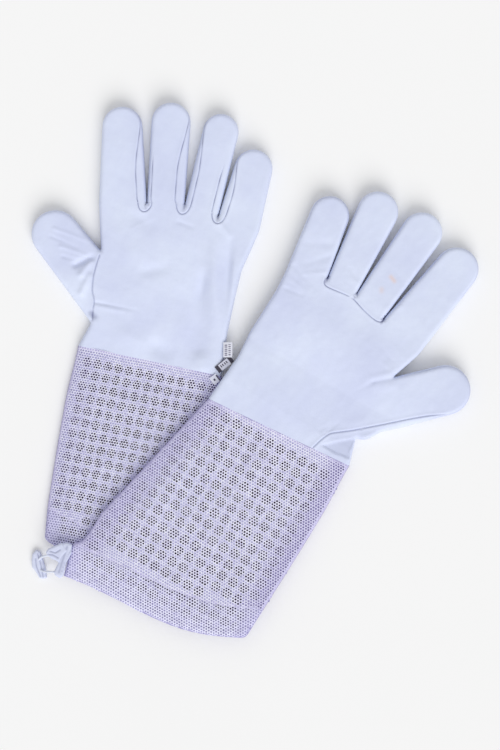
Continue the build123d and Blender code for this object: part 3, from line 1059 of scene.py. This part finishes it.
# ---------------------------------------------------------------- knitted net
def zipper(inner, outer):
    """Triangles between two rings of points, both anticlockwise round the origin."""
    def angles(ring):
        return np.unwrap(np.arctan2(ring[:, 1], ring[:, 0]))
    a, b = angles(inner), angles(outer)
    b += 2 * math.pi * round((a[0] - b[0]) / (2 * math.pi))
    i, j, faces = 0, 0, []
    n, m = len(inner), len(outer)
    while i < n or j < m:
        next_a = a[i + 1] if i + 1 < n else a[0] + 2 * math.pi
        next_b = b[j + 1] if j + 1 < m else b[0] + 2 * math.pi
        if j >= m or (i < n and next_a < next_b):
            faces.append((i % n, n + j % m, (i + 1) % n))
            i += 1
        else:
            faces.append((i % n, n + j % m, n + (j + 1) % m))
            j += 1
    return faces


RIM = 10  # points round a hole
NET_CROWN, NET_FLOOR = 0.16, -0.3  # the strands' tops and the holes' lower rims, against the upper rims
NET_FIELD = np.array([-110.0, -260.0]), np.array([150.0, 10.0])  # two corners of the plan that the rows start from


def net_plan(side, polygon, clear_lines, hole):
    """A knitted net over a polygon: plan points, how high each stands, and triangles."""
    seed = 70 + (side == "upper")
    rng = np.random.default_rng(seed)
    step, row = NET_STEP[side]
    low, high = NET_FIELD
    rows = np.arange(int((high[1] - low[1]) / row))
    columns = np.arange(int((high[0] - low[0]) / step))
    r, c = np.meshgrid(rows, columns, indexing="ij")
    x = low[0] + (c + 0.5 * (r % 2)) * step
    centres = np.stack([x.ravel(), (low[1] + r * row).ravel()], 1)
    keep = inside(centres, polygon)
    for line, least in clear_lines:
        keep &= path_distance(centres, line) > least
    centres = centres[keep]
    tall = row * 2 / 3
    half = step / 2
    half_ring = [(half, -tall / 2), (half, tall / 2), (0, tall)]
    corners = np.array(half_ring + [(-x, -y) for x, y in half_ring])
    rim = ring_of_points(RIM, hole, 0.95)
    template = zipper(rim, corners)
    everywhere = (centres[:, None] + corners[None]).reshape(-1, 2)
    keys, again = np.unique(np.round(everywhere, 2), axis=0, return_inverse=True)
    again = again.reshape(len(centres), 6)
    size = rng.uniform(0.88, 1.1, len(centres))[:, None, None]
    shift = rng.normal(0, 0.05, (len(centres), 1, 2))
    rims = (centres[:, None] + rim[None] * size + shift).reshape(-1, 2)
    count = len(keys)
    plan = np.concatenate([keys, rims, rims])
    rise = np.repeat([NET_CROWN, 0.0, NET_FLOOR], [count, len(rims), len(rims)])
    rise[:count] += rng.normal(0, 0.03, count)
    first = count + np.arange(len(centres))[:, None] * RIM
    index = np.concatenate([first + np.arange(RIM)[None], again], 1)
    faces = index[:, np.array(template)].reshape(-1, 3)
    k = np.arange(RIM)
    upper, lower = first + k[None], first + k[None] + len(rims)
    right = first + ((k + 1) % RIM)[None]
    right_low = right + len(rims)
    one = np.stack([upper, right, lower], 2).reshape(-1, 3)
    two = np.stack([right, right_low, lower], 2).reshape(-1, 3)
    faces = np.concatenate([faces, one, two])
    warp = np.stack([waves(plan, seed + 1, 60, 25, 6), waves(plan, seed + 2, 60, 25, 6)], 1) * 0.35
    return plan + warp, rise, faces


def net_normals(verts, faces):
    """The strands keep the normals of their tops; only the walls of the holes face sideways."""
    walls = len(faces) * 2 * RIM // (3 * RIM + 6)
    normals = point_normals(verts, faces[:-walls])
    side = point_normals(verts, faces[-walls:])
    bare = np.linalg.norm(normals, axis=1) < 0.5
    normals[bare] = side[bare]
    return normals


def lay(name, side, plan, height, faces, up, **values):
    """One skin of a net."""
    verts = to_world(side, plan, height)
    faces = turned(side, faces, up)
    return add_mesh(name, verts, faces, net_normals(verts, faces), **values)


NET_LEVEL = 0.5  # the net lies this far under the glove's plain shape
STRIP_RISE = -0.12  # how high the solid strips along the net's edges count as, for their painted shade
OPENINGS = {"lower": (10.6, 12.0), "upper": (12.5, 12.5)}
OPENINGS_AT = np.array([3.0, -14.0])
OPENING_RADIUS = {"lower": 4.6, "upper": 5.3}
NET_STEP = {"lower": (2.65, 2.40), "upper": (2.78, 2.5)}
EDGE_SHADE = {"lower": 0.3, "upper": 1.0}  # how much painted shade, as the deeper colour, the net and spacer take towards their edges
NET_HOLE = {"lower": 1.02, "upper": 0.99}


def opening_centres(side, lines):
    """The openings of the spacer fabric, in rows and columns."""
    step, row = OPENINGS[side]
    x, y = np.meshgrid(np.arange(-7, 12) * step, np.arange(0, 19) * -row)
    centres = np.stack([x.ravel(), y.ravel()], 1) + OPENINGS_AT
    polygon = lines["cuff"]
    keep = inside(centres, polygon) & (edge_distance(lines, centres) > 9)
    keep &= (path_distance(centres, lines["wrist"]) > 7.5) & (path_distance(centres, lines["band"]) > 5.5)
    return centres[keep]


def opening_field(side, plan):
    """1 where the rows of openings would run on under the hem band; the hem ground is painted dark there as shade."""
    step, row = OPENINGS[side]
    x = (plan[:, 0] - OPENINGS_AT[0] + step / 2) % step - step / 2
    y = (plan[:, 1] - OPENINGS_AT[1] + row / 2) % row - row / 2
    return smoothstep(OPENING_RADIUS[side] + 0.7, OPENING_RADIUS[side] - 0.7, np.hypot(x, y))


def bend_to_cuff(piece):
    """Bakes the piece's placement into its points; the cloth is not bent here."""
    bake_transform(piece)


SIDE_ROWS = (0.3, 0.9, 1.8, 3.0)  # rows of points along the rounded side edges


def make_cuff(side, net, spacer, inner, tape):
    """A gauntlet between the wrist and the band seam: net, spacer layer, inner net and wrist tape."""
    lines = gauntlet(side)
    polygon = lines["cuff"]
    clear = [(lines["sides"][0], 1.2), (lines["sides"][1], 1.2), (lines["wrist"], 0.3)]
    plan, rise, faces = net_plan(side, polygon, clear, NET_HOLE[side])
    d, low, high = cuff_heights(side, lines, plan)
    made = {}
    for up in (True, False):
        face = "top" if up else "under"
        height = high - NET_LEVEL + rise if up else low + NET_LEVEL - rise
        # painted shade towards the side edges
        edge = smoothstep(34, 3, d) * EDGE_SHADE[side]
        made[face] = lay(f"{side}_net_{face}", side, plan, height, faces, up, rise=rise, edge=edge)
    strip_plan, strips = sheet_plan(polygon, lines["sides"], SIDE_ROWS, 2.4)
    d, low, high = cuff_heights(side, lines, strip_plan)
    near_wrist = path_distance(strip_plan, lines["wrist"])
    near_line = np.minimum(d, np.minimum(near_wrist, path_distance(strip_plan, lines["band"]) + 2.0))
    strips = strips[near_line[strips].min(1) < 2.2]
    skins = both_skins(side, strip_plan, strips, low + NET_LEVEL + 0.12, high - NET_LEVEL - 0.12)
    made["edges"] = close_sides(f"{side}_net_edges", skins, d, np.zeros(len(d)))
    for key, piece in made.items():
        fit_out(piece, net, None, f"{side}_cuff_outer_net" if key == "top" else None)
        bend_to_cuff(piece)
    holes = opening_centres(side, lines), OPENING_RADIUS[side]
    for layer, slot, material, pitch, openings, (inset, steep), (far, near), shade in (
        ("spacer", "spacer_mesh", spacer, 5.0, holes, (0.45, 0.5), (34, 10), EDGE_SHADE[side]),
        ("inner_net", "inner_net", inner, 4.0, (), (2.6, 0.6), (38, 8), 1.0),
    ):
        plan, faces = sheet_plan(polygon, lines["sides"], (0.9, 2.0), pitch, *openings)
        d, low, high = cuff_heights(side, lines, plan)
        inset = NET_LEVEL + np.minimum(inset, d * steep)
        # towards the side edges the spacer takes more painted shade and the inner net less
        edge = smoothstep(far, near, d) * shade
        piece = two_faces(f"{side}_{layer}", side, plan, faces, low + inset, high - inset, edge=edge)
        fit_out(piece, material, None, f"{side}_cuff_{layer}")
        bend_to_cuff(piece)
    fit_out(wrist_tape(side), tape, f"{side}_hand", f"{side}_wrist_seam_tape")
    return lines


def close_sides(name, skins, d, openings):
    """A top and an underside joined along the side edges."""
    verts, faces = skins
    # net strips take the net's full painted edge shade
    values = {
        "rise": np.full(len(verts), STRIP_RISE), "edge": np.ones(len(verts)), "openings": np.tile(openings, 2),
    }
    return add_used(name, verts, sewn(d)[faces], None, values)


def two_faces(name, side, plan, faces, low, high, **values):
    """A layer of cloth inside, as a top and an underside that aren't joined."""
    verts, both = both_skins(side, plan, faces, low, high)
    values = {key: np.tile(value, 2) for key, value in values.items()}
    return add_mesh(name, verts, both, point_normals(verts, both), **values)


def wrist_tape(side):
    """The tape over the wrist seam, inside, as a ring of strip."""
    glove = GLOVE[side]
    along = resample(glove["wrist"], 3.0)
    out = left_of(unit(*glove["wrist"]))
    across = np.linspace(0.4, 7.4, 6)
    rows = []
    for reach in across:
        plan = along[1:-1] + out * reach
        d = np.minimum(*(path_distance(plan, [end, end + out * 9]) for end in (along[0], along[-1])))
        low, high = shape_of(side, plan, d)
        inset = np.minimum(1.5, d * 0.5)
        rows.append(np.concatenate([to_world(side, plan, high - inset), to_world(side, plan, low + inset)[::-1]]))
    count = len(rows[0])
    verts = np.concatenate(rows)
    faces = []
    for r in range(len(rows) - 1):
        for k in range(count):
            a, b = r * count + k, r * count + (k + 1) % count
            faces.append((a, b, b + count, a + count))
    return add_mesh(f"{side}_wrist_tape", verts, faces)


# ---------------------------------------------------------------- the hem bands
def make_hem(side, lines, net, ground, lining, elastic):
    """The band along the mouth: its net on a ground cloth, its lining and the drawcord inside."""
    body = f"{side}_cuff"
    polygon = lines["hem_band"]
    clear = [(lines["sides"][0], 1.4), (lines["sides"][1], 1.4), (lines["hem"], 1.1)]
    plan, rise, faces = net_plan(side, polygon, clear, NET_HOLE[side] - 0.08)
    d, e, b, low, high = hem_heights(side, lines, plan)
    for up in (True, False):
        face = "top" if up else "under"
        height = high + rise - 0.1 if up else low - rise + 0.1
        # the hem net takes painted shade towards its side edges
        piece = lay(f"{side}_hem_net_{face}", side, plan, height, faces, up, rise=rise, edge=smoothstep(20, 3, d))
        fit_out(piece, net, body)
    plan, faces = sheet_plan(polygon, (*lines["sides"], lines["hem"]), SIDE_ROWS, 1.6)
    d, e, b, low, high = hem_heights(side, lines, plan)
    sunk = 0.62 * smoothstep(0.2, 1.2, np.minimum(np.minimum(d, e), b + 2)) + 0.02
    # painted shade where the dark of the openings would show through the hem net
    openings = opening_field(side, plan) * smoothstep(34, 8, b) * smoothstep(8, 20, d)
    sunk += 0.5 * openings
    skins = both_skins(side, plan, faces, low + sunk, high - sunk)
    piece = close_sides(f"{side}_hem_ground", skins, np.where(e < 1e-3, 1.0, d), openings)
    fit_out(piece, ground, body, f"{side}_hem_outer")
    middle = low + 0.44 * (high - low)
    gap = 0.35 + 1.0 * smoothstep(0, 12, e)
    gap = np.minimum(gap, np.maximum(d * 0.5, 0.02))
    inner = two_faces(f"{side}_hem_lining", side, plan, faces[:, ::-1], middle - gap, middle + gap)
    fit_out(inner, lining, body, f"{side}_hem_lining")
    make_drawcord(side, lines, elastic)


def make_drawcord(side, lines, elastic):
    """The elastic in the hem's channel, a flattened ring inside the mouth."""
    line = lines["hem"][3:-3]
    inner = line + left_of(unit(line[0], line[-1])) * 6.5
    *_, low, high = hem_heights(side, lines, inner)
    middle = low + 0.44 * (high - low)
    top = to_world(side, inner, (high + middle) / 2 + 0.3)
    under = to_world(side, inner, (low + middle) / 2 - 0.3)[::-1]
    curve = bpy.data.curves.new(f"{side}_drawcord", "CURVE")
    curve.dimensions = "3D"
    curve.bevel_depth = 0.0009
    curve.bevel_resolution = 3
    spline = curve.splines.new("POLY")
    points = np.concatenate([top, under])
    spline.points.add(len(points) - 1)
    spline.points.foreach_set("co", np.column_stack([points, np.ones(len(points))]).ravel())
    spline.use_cyclic_u = True
    piece = add_object(f"{side}_drawcord", curve)
    fit_out(piece, elastic, f"{side}_cuff", f"{side}_hem_drawcord")


# ---------------------------------------------------------------- small leather pieces
def rounded_polygon(points, passes, step):
    """A closed outline with its corners rounded off."""
    points = np.asarray(points, float)
    path = resample(np.vstack([points, points[:1]]), step)[:-1]
    return smooth_path(path, passes)


def pillow(name, side, polygon, low, high, radius, lines, pitch):
    """A small soft leather piece: a plan outline with rounded edges and pressed lines, with painted shade in them."""
    rows = (0.25, 0.7, 1.3)
    closed = np.vstack([polygon, polygon[:1]])
    plan, faces = sheet_plan(polygon, (closed,), rows, pitch)
    d = path_distance(plan, polygon, True)
    s = np.sqrt(np.clip(1 - (1 - np.clip(d / radius, 0, 1)) ** 2, 0, 1))
    middle = (low + high) / 2
    top = middle + (high - middle) * s
    under = middle - (middle - low) * s
    dark = np.zeros(len(plan))
    for path, depth, width in lines:
        near = np.exp(-((path_distance(plan, np.asarray(path, float)) / width) ** 2))
        top -= depth * near * s
        # painted shade in the pressed lines
        dark += 0.5 * near * s
    top += waves(plan, 7, 14, 5, 8) * 0.12 * s
    verts, faces = both_skins(side, plan, faces, under, top)
    dark = np.clip(np.concatenate([dark, dark * 0]), 0, 1)
    return add_used(name, verts, sewn(d)[faces], None, {"dark": dark, "stain": dark * 0})


def unmirrored(points):
    """Points given as seen from above, in the upper glove's own plan."""
    return [(-x, y) for x, y in points][::-1]


# outlines and pressed lines as seen from above
PULL = (
    (-152.3, -227.8), (-151, -223), (-146.8, -222.3), (-141.7, -226.2), (-134.1, -233.4), (-127.5, -241.7),
    (-130, -244.4), (-133.8, -245.9), (-140.7, -241.9), (-145.8, -240.2), (-149.7, -234.3),
)
PULL_LINES = (
    ((-148, -225.3), (-140.9, -231.6), (-131.7, -242.4)),
    ((-147.2, -230.6), (-142.4, -237), (-133.9, -243.7)),
)
FLAP = (
    (-131.5, -201.9), (-136, -208), (-140.6, -214.1), (-141, -218.4), (-138, -220.6), (-133, -221.2),
    (-127.7, -220.5), (-123.8, -221.1), (-124.8, -215.6), (-122.6, -206),
)
FLAP_LINES = (
    ((-129.7, -208.9), (-132.5, -214), (-137.6, -215.2)),
    ((-127.4, -216.9), (-133.3, -216.8), (-137.8, -218.8)),
)
UPPER_TAB = (
    (-131.4, -203), (-128, -199.5), (-122, -198.7), (-118.2, -206.9), (-117.9, -218.3), (-114.1, -230),
    (-115.5, -234), (-121, -234.2), (-124.2, -231.8), (-124.6, -227), (-124.9, -221.8), (-127.2, -213.3),
)
UPPER_TAB_LINES = (
    ((-120.4, -203), (-119.6, -218), (-116.6, -229.5)),
    ((-125.4, -203), (-123.2, -213), (-119.6, -229)),
)
TAB_TOP, TAB_BOTTOM = (11.0, -8.0), (7.5, -0.5)


def make_tab(side, leather):
    """The leather tongue sewn over the little finger's end of the hem band."""
    if side == "upper":
        polygon = rounded_polygon(unmirrored(UPPER_TAB), 2, 0.7)
        lines = [(unmirrored(path), *press) for path, press in zip(UPPER_TAB_LINES, ((0.6, 0.5), (0.3, 1.0)))]
        low, high = 13.4, 19.2
    else:
        band, hem = np.array(GLOVE[side]["band"][1], float), np.array(GLOVE[side]["hem"][1], float)
        corners = [band + (-2.2, 0.6), hem + (-2.6, 1.2), hem + TAB_BOTTOM, band + TAB_TOP, band + (5.5, 0.5)]
        polygon = rounded_polygon(corners[::-1], 3, 0.8)
        lines = [
            ((band + (-0.4, -1), hem + (-0.8, 2.5)), 0.7, 0.6),
            ((band + (7, -6), hem + (4.6, 2)), 0.35, 1.2),
        ]
        low, high = 2.2, 7.6
    piece = pillow(f"{side}_tab_leather", side, polygon, low, high, 2.6, lines, 1.2)
    fit_out(piece, leather, f"{side}_cuff", f"{side}_hem_tab")


def make_pull(leather, elastic):
    """The flap of the upper tab, and the elastic loop out of it with its folded leather pull."""
    lines = [(unmirrored(path), 0.9, 0.55) for path in PULL_LINES]
    pull = pillow("pull_leather", "upper", rounded_polygon(unmirrored(PULL), 2, 0.6), 0.9, 5.6, 2.2, lines, 0.8)
    fit_out(pull, leather, "pull_loop", "cord_pull")
    lines = [(unmirrored(path), 0.8, 0.6) for path in FLAP_LINES]
    flap = pillow("flap_leather", "upper", rounded_polygon(unmirrored(FLAP), 2, 0.6), 15.3, 19.6, 2.0, lines, 0.8)
    fit_out(flap, leather, "upper_cuff", "tab_flap")
    fit_out(CORD, elastic, "pull_loop", "pull_cord")


# ---------------------------------------------------------------- labels
LABELS = {  # middle in the lower glove's plan, size, turn in degrees, level, curl
    "care_label": ((74.0, 27.0), (9.0, 15.0), 12.0, 13.05, 0.3),
    "woven_label": ((73.6, 12.3), (7.5, 19.0), -39.3, 11.35, 0.15),
    "size_label": ((67.6, -4.4), (8.5, 8.0), -39.3, 11.35, 0.1),
}


def label_ink(name, u, v):
    """Generic marks: plain bars where a label has its print. u and v run from 0 to 1."""
    ink = np.zeros_like(u)
    if name == "care_label":
        for k in range(6):
            ink += (np.abs(u - 0.30) < 0.14) * (np.abs(v - (0.14 + 0.135 * k)) < 0.035)
            ink += (np.abs(u - 0.70) < 0.12) * (np.abs(v - (0.17 + 0.135 * k)) < 0.03)
    elif name == "woven_label":
        ink += (v < 0.2) | (v > 0.8) | (u < 0.1)
        for k in range(4):
            ink += (np.abs(v - (0.3 + 0.12 * k)) < 0.03) * (np.abs(u - 0.45) < 0.2)
    else:
        ink += (v > 0.82) * (u > 0.2)
        ink += (np.abs(u - 0.5) < 0.12) * (np.abs(v - 0.45) < 0.12)
    return np.clip(ink, 0, 1).astype(float)


LABEL_GRID = 0.35
LABEL_HALF = 0.2  # half its thickness


def make_label(name, ground, ink):
    """A flat label with a slight curl, on the lower glove's side seam."""
    material = label_material(f"{name}_cloth", srgb(*ground), srgb(*ink))
    (x, y), (width, length), turn, level, curl = LABELS[name]
    columns, rows = int(width / LABEL_GRID), int(length / LABEL_GRID)
    u, v = np.meshgrid(np.linspace(0, 1, columns), np.linspace(0, 1, rows))
    across, along = (u - 0.5) * width, (v - 0.5) * length
    c, s = math.cos(math.radians(turn)), math.sin(math.radians(turn))
    plan = np.stack([x + across * c - along * s, y + across * s + along * c], -1).reshape(-1, 2)
    height = (level + curl * np.sin(v * math.pi) + 0.08 * np.sin(u * 5 + v * 3)).ravel()
    index = np.arange(columns * rows).reshape(rows, columns)
    quads = np.stack([index[:-1, :-1], index[:-1, 1:], index[1:, 1:], index[1:, :-1]], -1).reshape(-1, 4)
    rim = np.concatenate([index[0, :-1], index[:-1, -1], index[-1, :0:-1], index[:0:-1, 0]])
    count = columns * rows
    verts = np.concatenate([to_world("lower", plan, height + lift) for lift in (LABEL_HALF, -LABEL_HALF)])
    after = np.roll(rim, -1)
    faces = np.concatenate([quads, quads[:, ::-1] + count, np.stack([after, rim, rim + count, after + count], 1)])
    mesh = bpy.data.meshes.new(name)
    mesh.from_pydata(verts.tolist(), [], faces.tolist())
    attribute = mesh.attributes.new("ink", "FLOAT", "POINT")
    attribute.data.foreach_set("value", np.tile(label_ink(name, u, v).ravel(), 2).astype(np.float32))
    fit_out(add_object(f"{name}_cloth", mesh), material, "labels", name)


# ---------------------------------------------------------------- cloth materials
PAINTED_GLOW = {"Emission_Color": (0.1, 0.12, 0.6, 1.0), "Emission_Strength": 0.07}  # a faint blue glow painted on the net, painted light that brightens it as a lamp would


def net_material(name, pale, deep, edge_colour):
    """Knitted net: fuzzy fibres and loops, with painted shade in its hollows, stronger at the edge of each hole, and
    towards the gauntlet's side edges; it also has a faint painted glow.
    """
    n = Nodes(name)
    rise = n.range(n.value("rise"), -0.4, 0.15, 0.0, 1.0)
    mottle = n.noise(260, 3)
    colour = n.mix(n.range(mottle, 0.35, 0.7, 0.0, 0.6), pale, edge_colour)
    # painted shade towards the gauntlet's side edges
    colour = n.mix(n.math("MULTIPLY", n.value("edge"), 0.6, True), colour, edge_colour)
    # painted shade: the walls of the holes take the deep colour, and the strands' tops stay pale
    colour = n.mix(rise, deep, colour)
    fibre = n.noise(3400, 2, 0.7)
    loops = n.voronoi(2300)
    height = n.math("ADD", n.math("MULTIPLY", fibre, 0.6), n.math("MULTIPLY", loops, 0.7))
    normal = n.bump(height, 0.0003, 0.35)
    return n.finish(colour, 0.85, normal, Specular_IOR_Level=0.2, Sheen_Weight=0.2, **PAINTED_GLOW)


WEAVE = 1400 / 6.28  # threads, as the wave texture's scale


def woven_material(name, pale, deep):
    n = Nodes(name)
    weave = n.math("MULTIPLY", n.wave(WEAVE, 0.6, "X"), n.wave(WEAVE, 0.6, "Y"))
    mottle = n.noise(300, 3)
    shade = n.math("ADD", n.math("MULTIPLY", weave, 0.5), n.math("MULTIPLY", mottle, 0.5))
    colour = n.mix(shade, deep, pale)
    normal = n.bump(weave, 0.0003, 0.7)
    return n.finish(colour, 0.9, normal, Specular_IOR_Level=0.15)


def spacer_material(name, pale, deep):
    n = Nodes(name)
    colour = n.mix(n.range(n.noise(420, 3), 0.3, 0.75, 0.0, 0.4), pale, deep)
    # painted shade towards the gauntlet's side edges
    colour = n.mix(n.value("edge"), colour, deep)
    normal = n.bump(n.voronoi(1500), 0.0003, 0.7)
    return n.finish(colour, 0.9, normal, Specular_IOR_Level=0.15)


def ground_material(name, pale, deep, dark):
    n = Nodes(name)
    colour = n.mix(n.range(n.noise(520, 3), 0.35, 0.65, 0.0, 1.0), pale, deep)
    # painted shade: dark where the rows of openings run on under the hem
    colour = n.mix(n.math("MULTIPLY", n.value("openings"), 1.0, True), colour, dark)
    return n.finish(colour, 0.95, n.bump(n.voronoi(1500), 0.0003, 0.7), Specular_IOR_Level=0.1)


def inner_material(name, deep, pale):
    # The inner net's purplish colour, darkened nearly to black as painted shade of the hollow inside the gauntlet;
    # lighter patches and edges thin that shade.
    n = Nodes(name)
    mottle = n.noise(420, 3)
    colour = n.mix(n.range(mottle, 0.3, 0.75, 0.0, 0.2), deep, pale)
    patch = n.range(n.noise(38, 2), 0.56, 0.72, 0.0, 0.35)
    colour = n.mix(patch, colour, pale)
    # less painted shade towards the side edges
    colour = n.mix(n.math("MULTIPLY", n.value("edge"), 0.85, True), colour, pale)
    normal = n.bump(n.voronoi(900), 0.0003, 0.7)
    return n.finish(colour, 0.95, normal, Specular_IOR_Level=0.1)


def label_material(name, ground, ink):
    n = Nodes(name)
    wave = n.wave(320, 1.2, "Y")
    colour = n.mix(n.range(n.noise(300, 2), 0.4, 0.8, 0, 0.4), ground, tuple(c * 0.8 for c in ground))
    colour = n.mix(n.value("ink"), colour, ink)
    return n.finish(colour, 0.7, n.bump(wave, 0.0002, 0.5), Sheen_Weight=0.1)


def elastic_material():
    n = Nodes("white_elastic")
    wave = n.wave(260, 0.5, "DIAGONAL")
    colour = n.mix(wave, srgb(216, 222, 244), srgb(238, 243, 255))
    return n.finish(colour, 0.6, n.bump(wave, 0.0003, 0.8), Sheen_Weight=0.1)


def floor_material():
    n = Nodes("studio_paper")
    colour = n.mix(n.noise(3, 2), srgb(247, 247, 247), srgb(249, 249, 249))
    return n.finish(colour, 0.9, None, Specular_IOR_Level=0.0)


NET = net_material("lavender_net", srgb(245, 246, 255), srgb(150, 138, 190), srgb(207, 203, 236))
HEM_NET = net_material("lavender_hem_net", srgb(239, 240, 255), srgb(150, 138, 188), srgb(213, 210, 241))
# the last colour is painted shade where the openings run on under the hem
GROUND = ground_material("hem_ground_cloth", srgb(188, 186, 226), srgb(150, 143, 190), srgb(44, 10, 52))
SPACER = spacer_material("spacer_knit", srgb(200, 200, 236), srgb(140, 132, 180))
# the inner net's purplish colour, darkened nearly to black as painted shade of the gauntlet's hollow inside
INNER = inner_material("inner_net_painted_shade", srgb(44, 2, 44), srgb(126, 110, 162))
LINING = woven_material("hem_lining_cloth", srgb(186, 187, 214), srgb(140, 138, 172))
TAPE = woven_material("wrist_tape_cloth", srgb(226, 230, 245), srgb(190, 194, 216))
ELASTIC = elastic_material()
TRIM = leather_material("trim_leather", srgb(222, 228, 247), srgb(208, 213, 238), srgb(120, 124, 160))
for glove_side in TURN:
    outline = make_cuff(glove_side, NET, SPACER, INNER, TAPE)
    make_hem(glove_side, outline, HEM_NET, GROUND, LINING, ELASTIC)
    make_tab(glove_side, TRIM)
make_pull(TRIM, ELASTIC)
make_label("care_label", (226, 228, 240), (110, 106, 130))
make_label("woven_label", (214, 216, 232), (58, 54, 70))
make_label("size_label", (222, 224, 240), (70, 66, 84))


# ---------------------------------------------------------------- floor and light
FLOOR_REACH = 60.0
BACKDROP = (0.9, 0.9, 0.9, 1)
SKY = 0.62  # how strongly the plain white world lights the pair
SUN_PLACE, SUN_SPREAD, SUN_POWER = (0.28, -1.0, 0.9), 0.8, 1.72


def make_stage():
    mesh = bpy.data.meshes.new("floor")
    corners = [(x * FLOOR_REACH, y * FLOOR_REACH, 0) for x, y in ((-1, -1), (1, -1), (1, 1), (-1, 1))]
    mesh.from_pydata(corners, [], [(0, 1, 2, 3)])
    mesh.materials.append(floor_material())
    add_object("floor", mesh)


def add_sun():
    light = bpy.data.lights.new("key", "SUN")
    light.angle = SUN_SPREAD
    light.energy = SUN_POWER
    lamp = add_object("key", light)
    lamp.location = SUN_PLACE
    lamp.rotation_mode = "QUATERNION"
    lamp.rotation_quaternion = (-Vector(SUN_PLACE)).to_track_quat("-Z", "Y")


def show_pale_backdrop(tree, lighting):
    """The camera sees a pale backdrop above the floor, which doesn't change the light."""
    backdrop = tree.nodes.new("ShaderNodeBackground")
    backdrop.inputs["Color"].default_value = BACKDROP
    chooser = tree.nodes.new("ShaderNodeMixShader")
    path = tree.nodes.new("ShaderNodeLightPath")
    tree.links.new(path.outputs["Is Camera Ray"], chooser.inputs[0])
    tree.links.new(lighting.outputs[0], chooser.inputs[1])
    tree.links.new(backdrop.outputs[0], chooser.inputs[2])
    tree.links.new(chooser.outputs[0], tree.nodes["World Output"].inputs["Surface"])


def make_light():
    world = bpy.data.worlds.new("studio")
    bpy.context.scene.world = world
    world.use_nodes = True
    background = world.node_tree.nodes["Background"]
    background.inputs["Color"].default_value = (1.0, 1.0, 1.0, 1)
    background.inputs["Strength"].default_value = SKY
    show_pale_backdrop(world.node_tree, background)
    add_sun()
    bpy.context.scene.view_settings.view_transform = "Standard"


make_stage()
make_light()
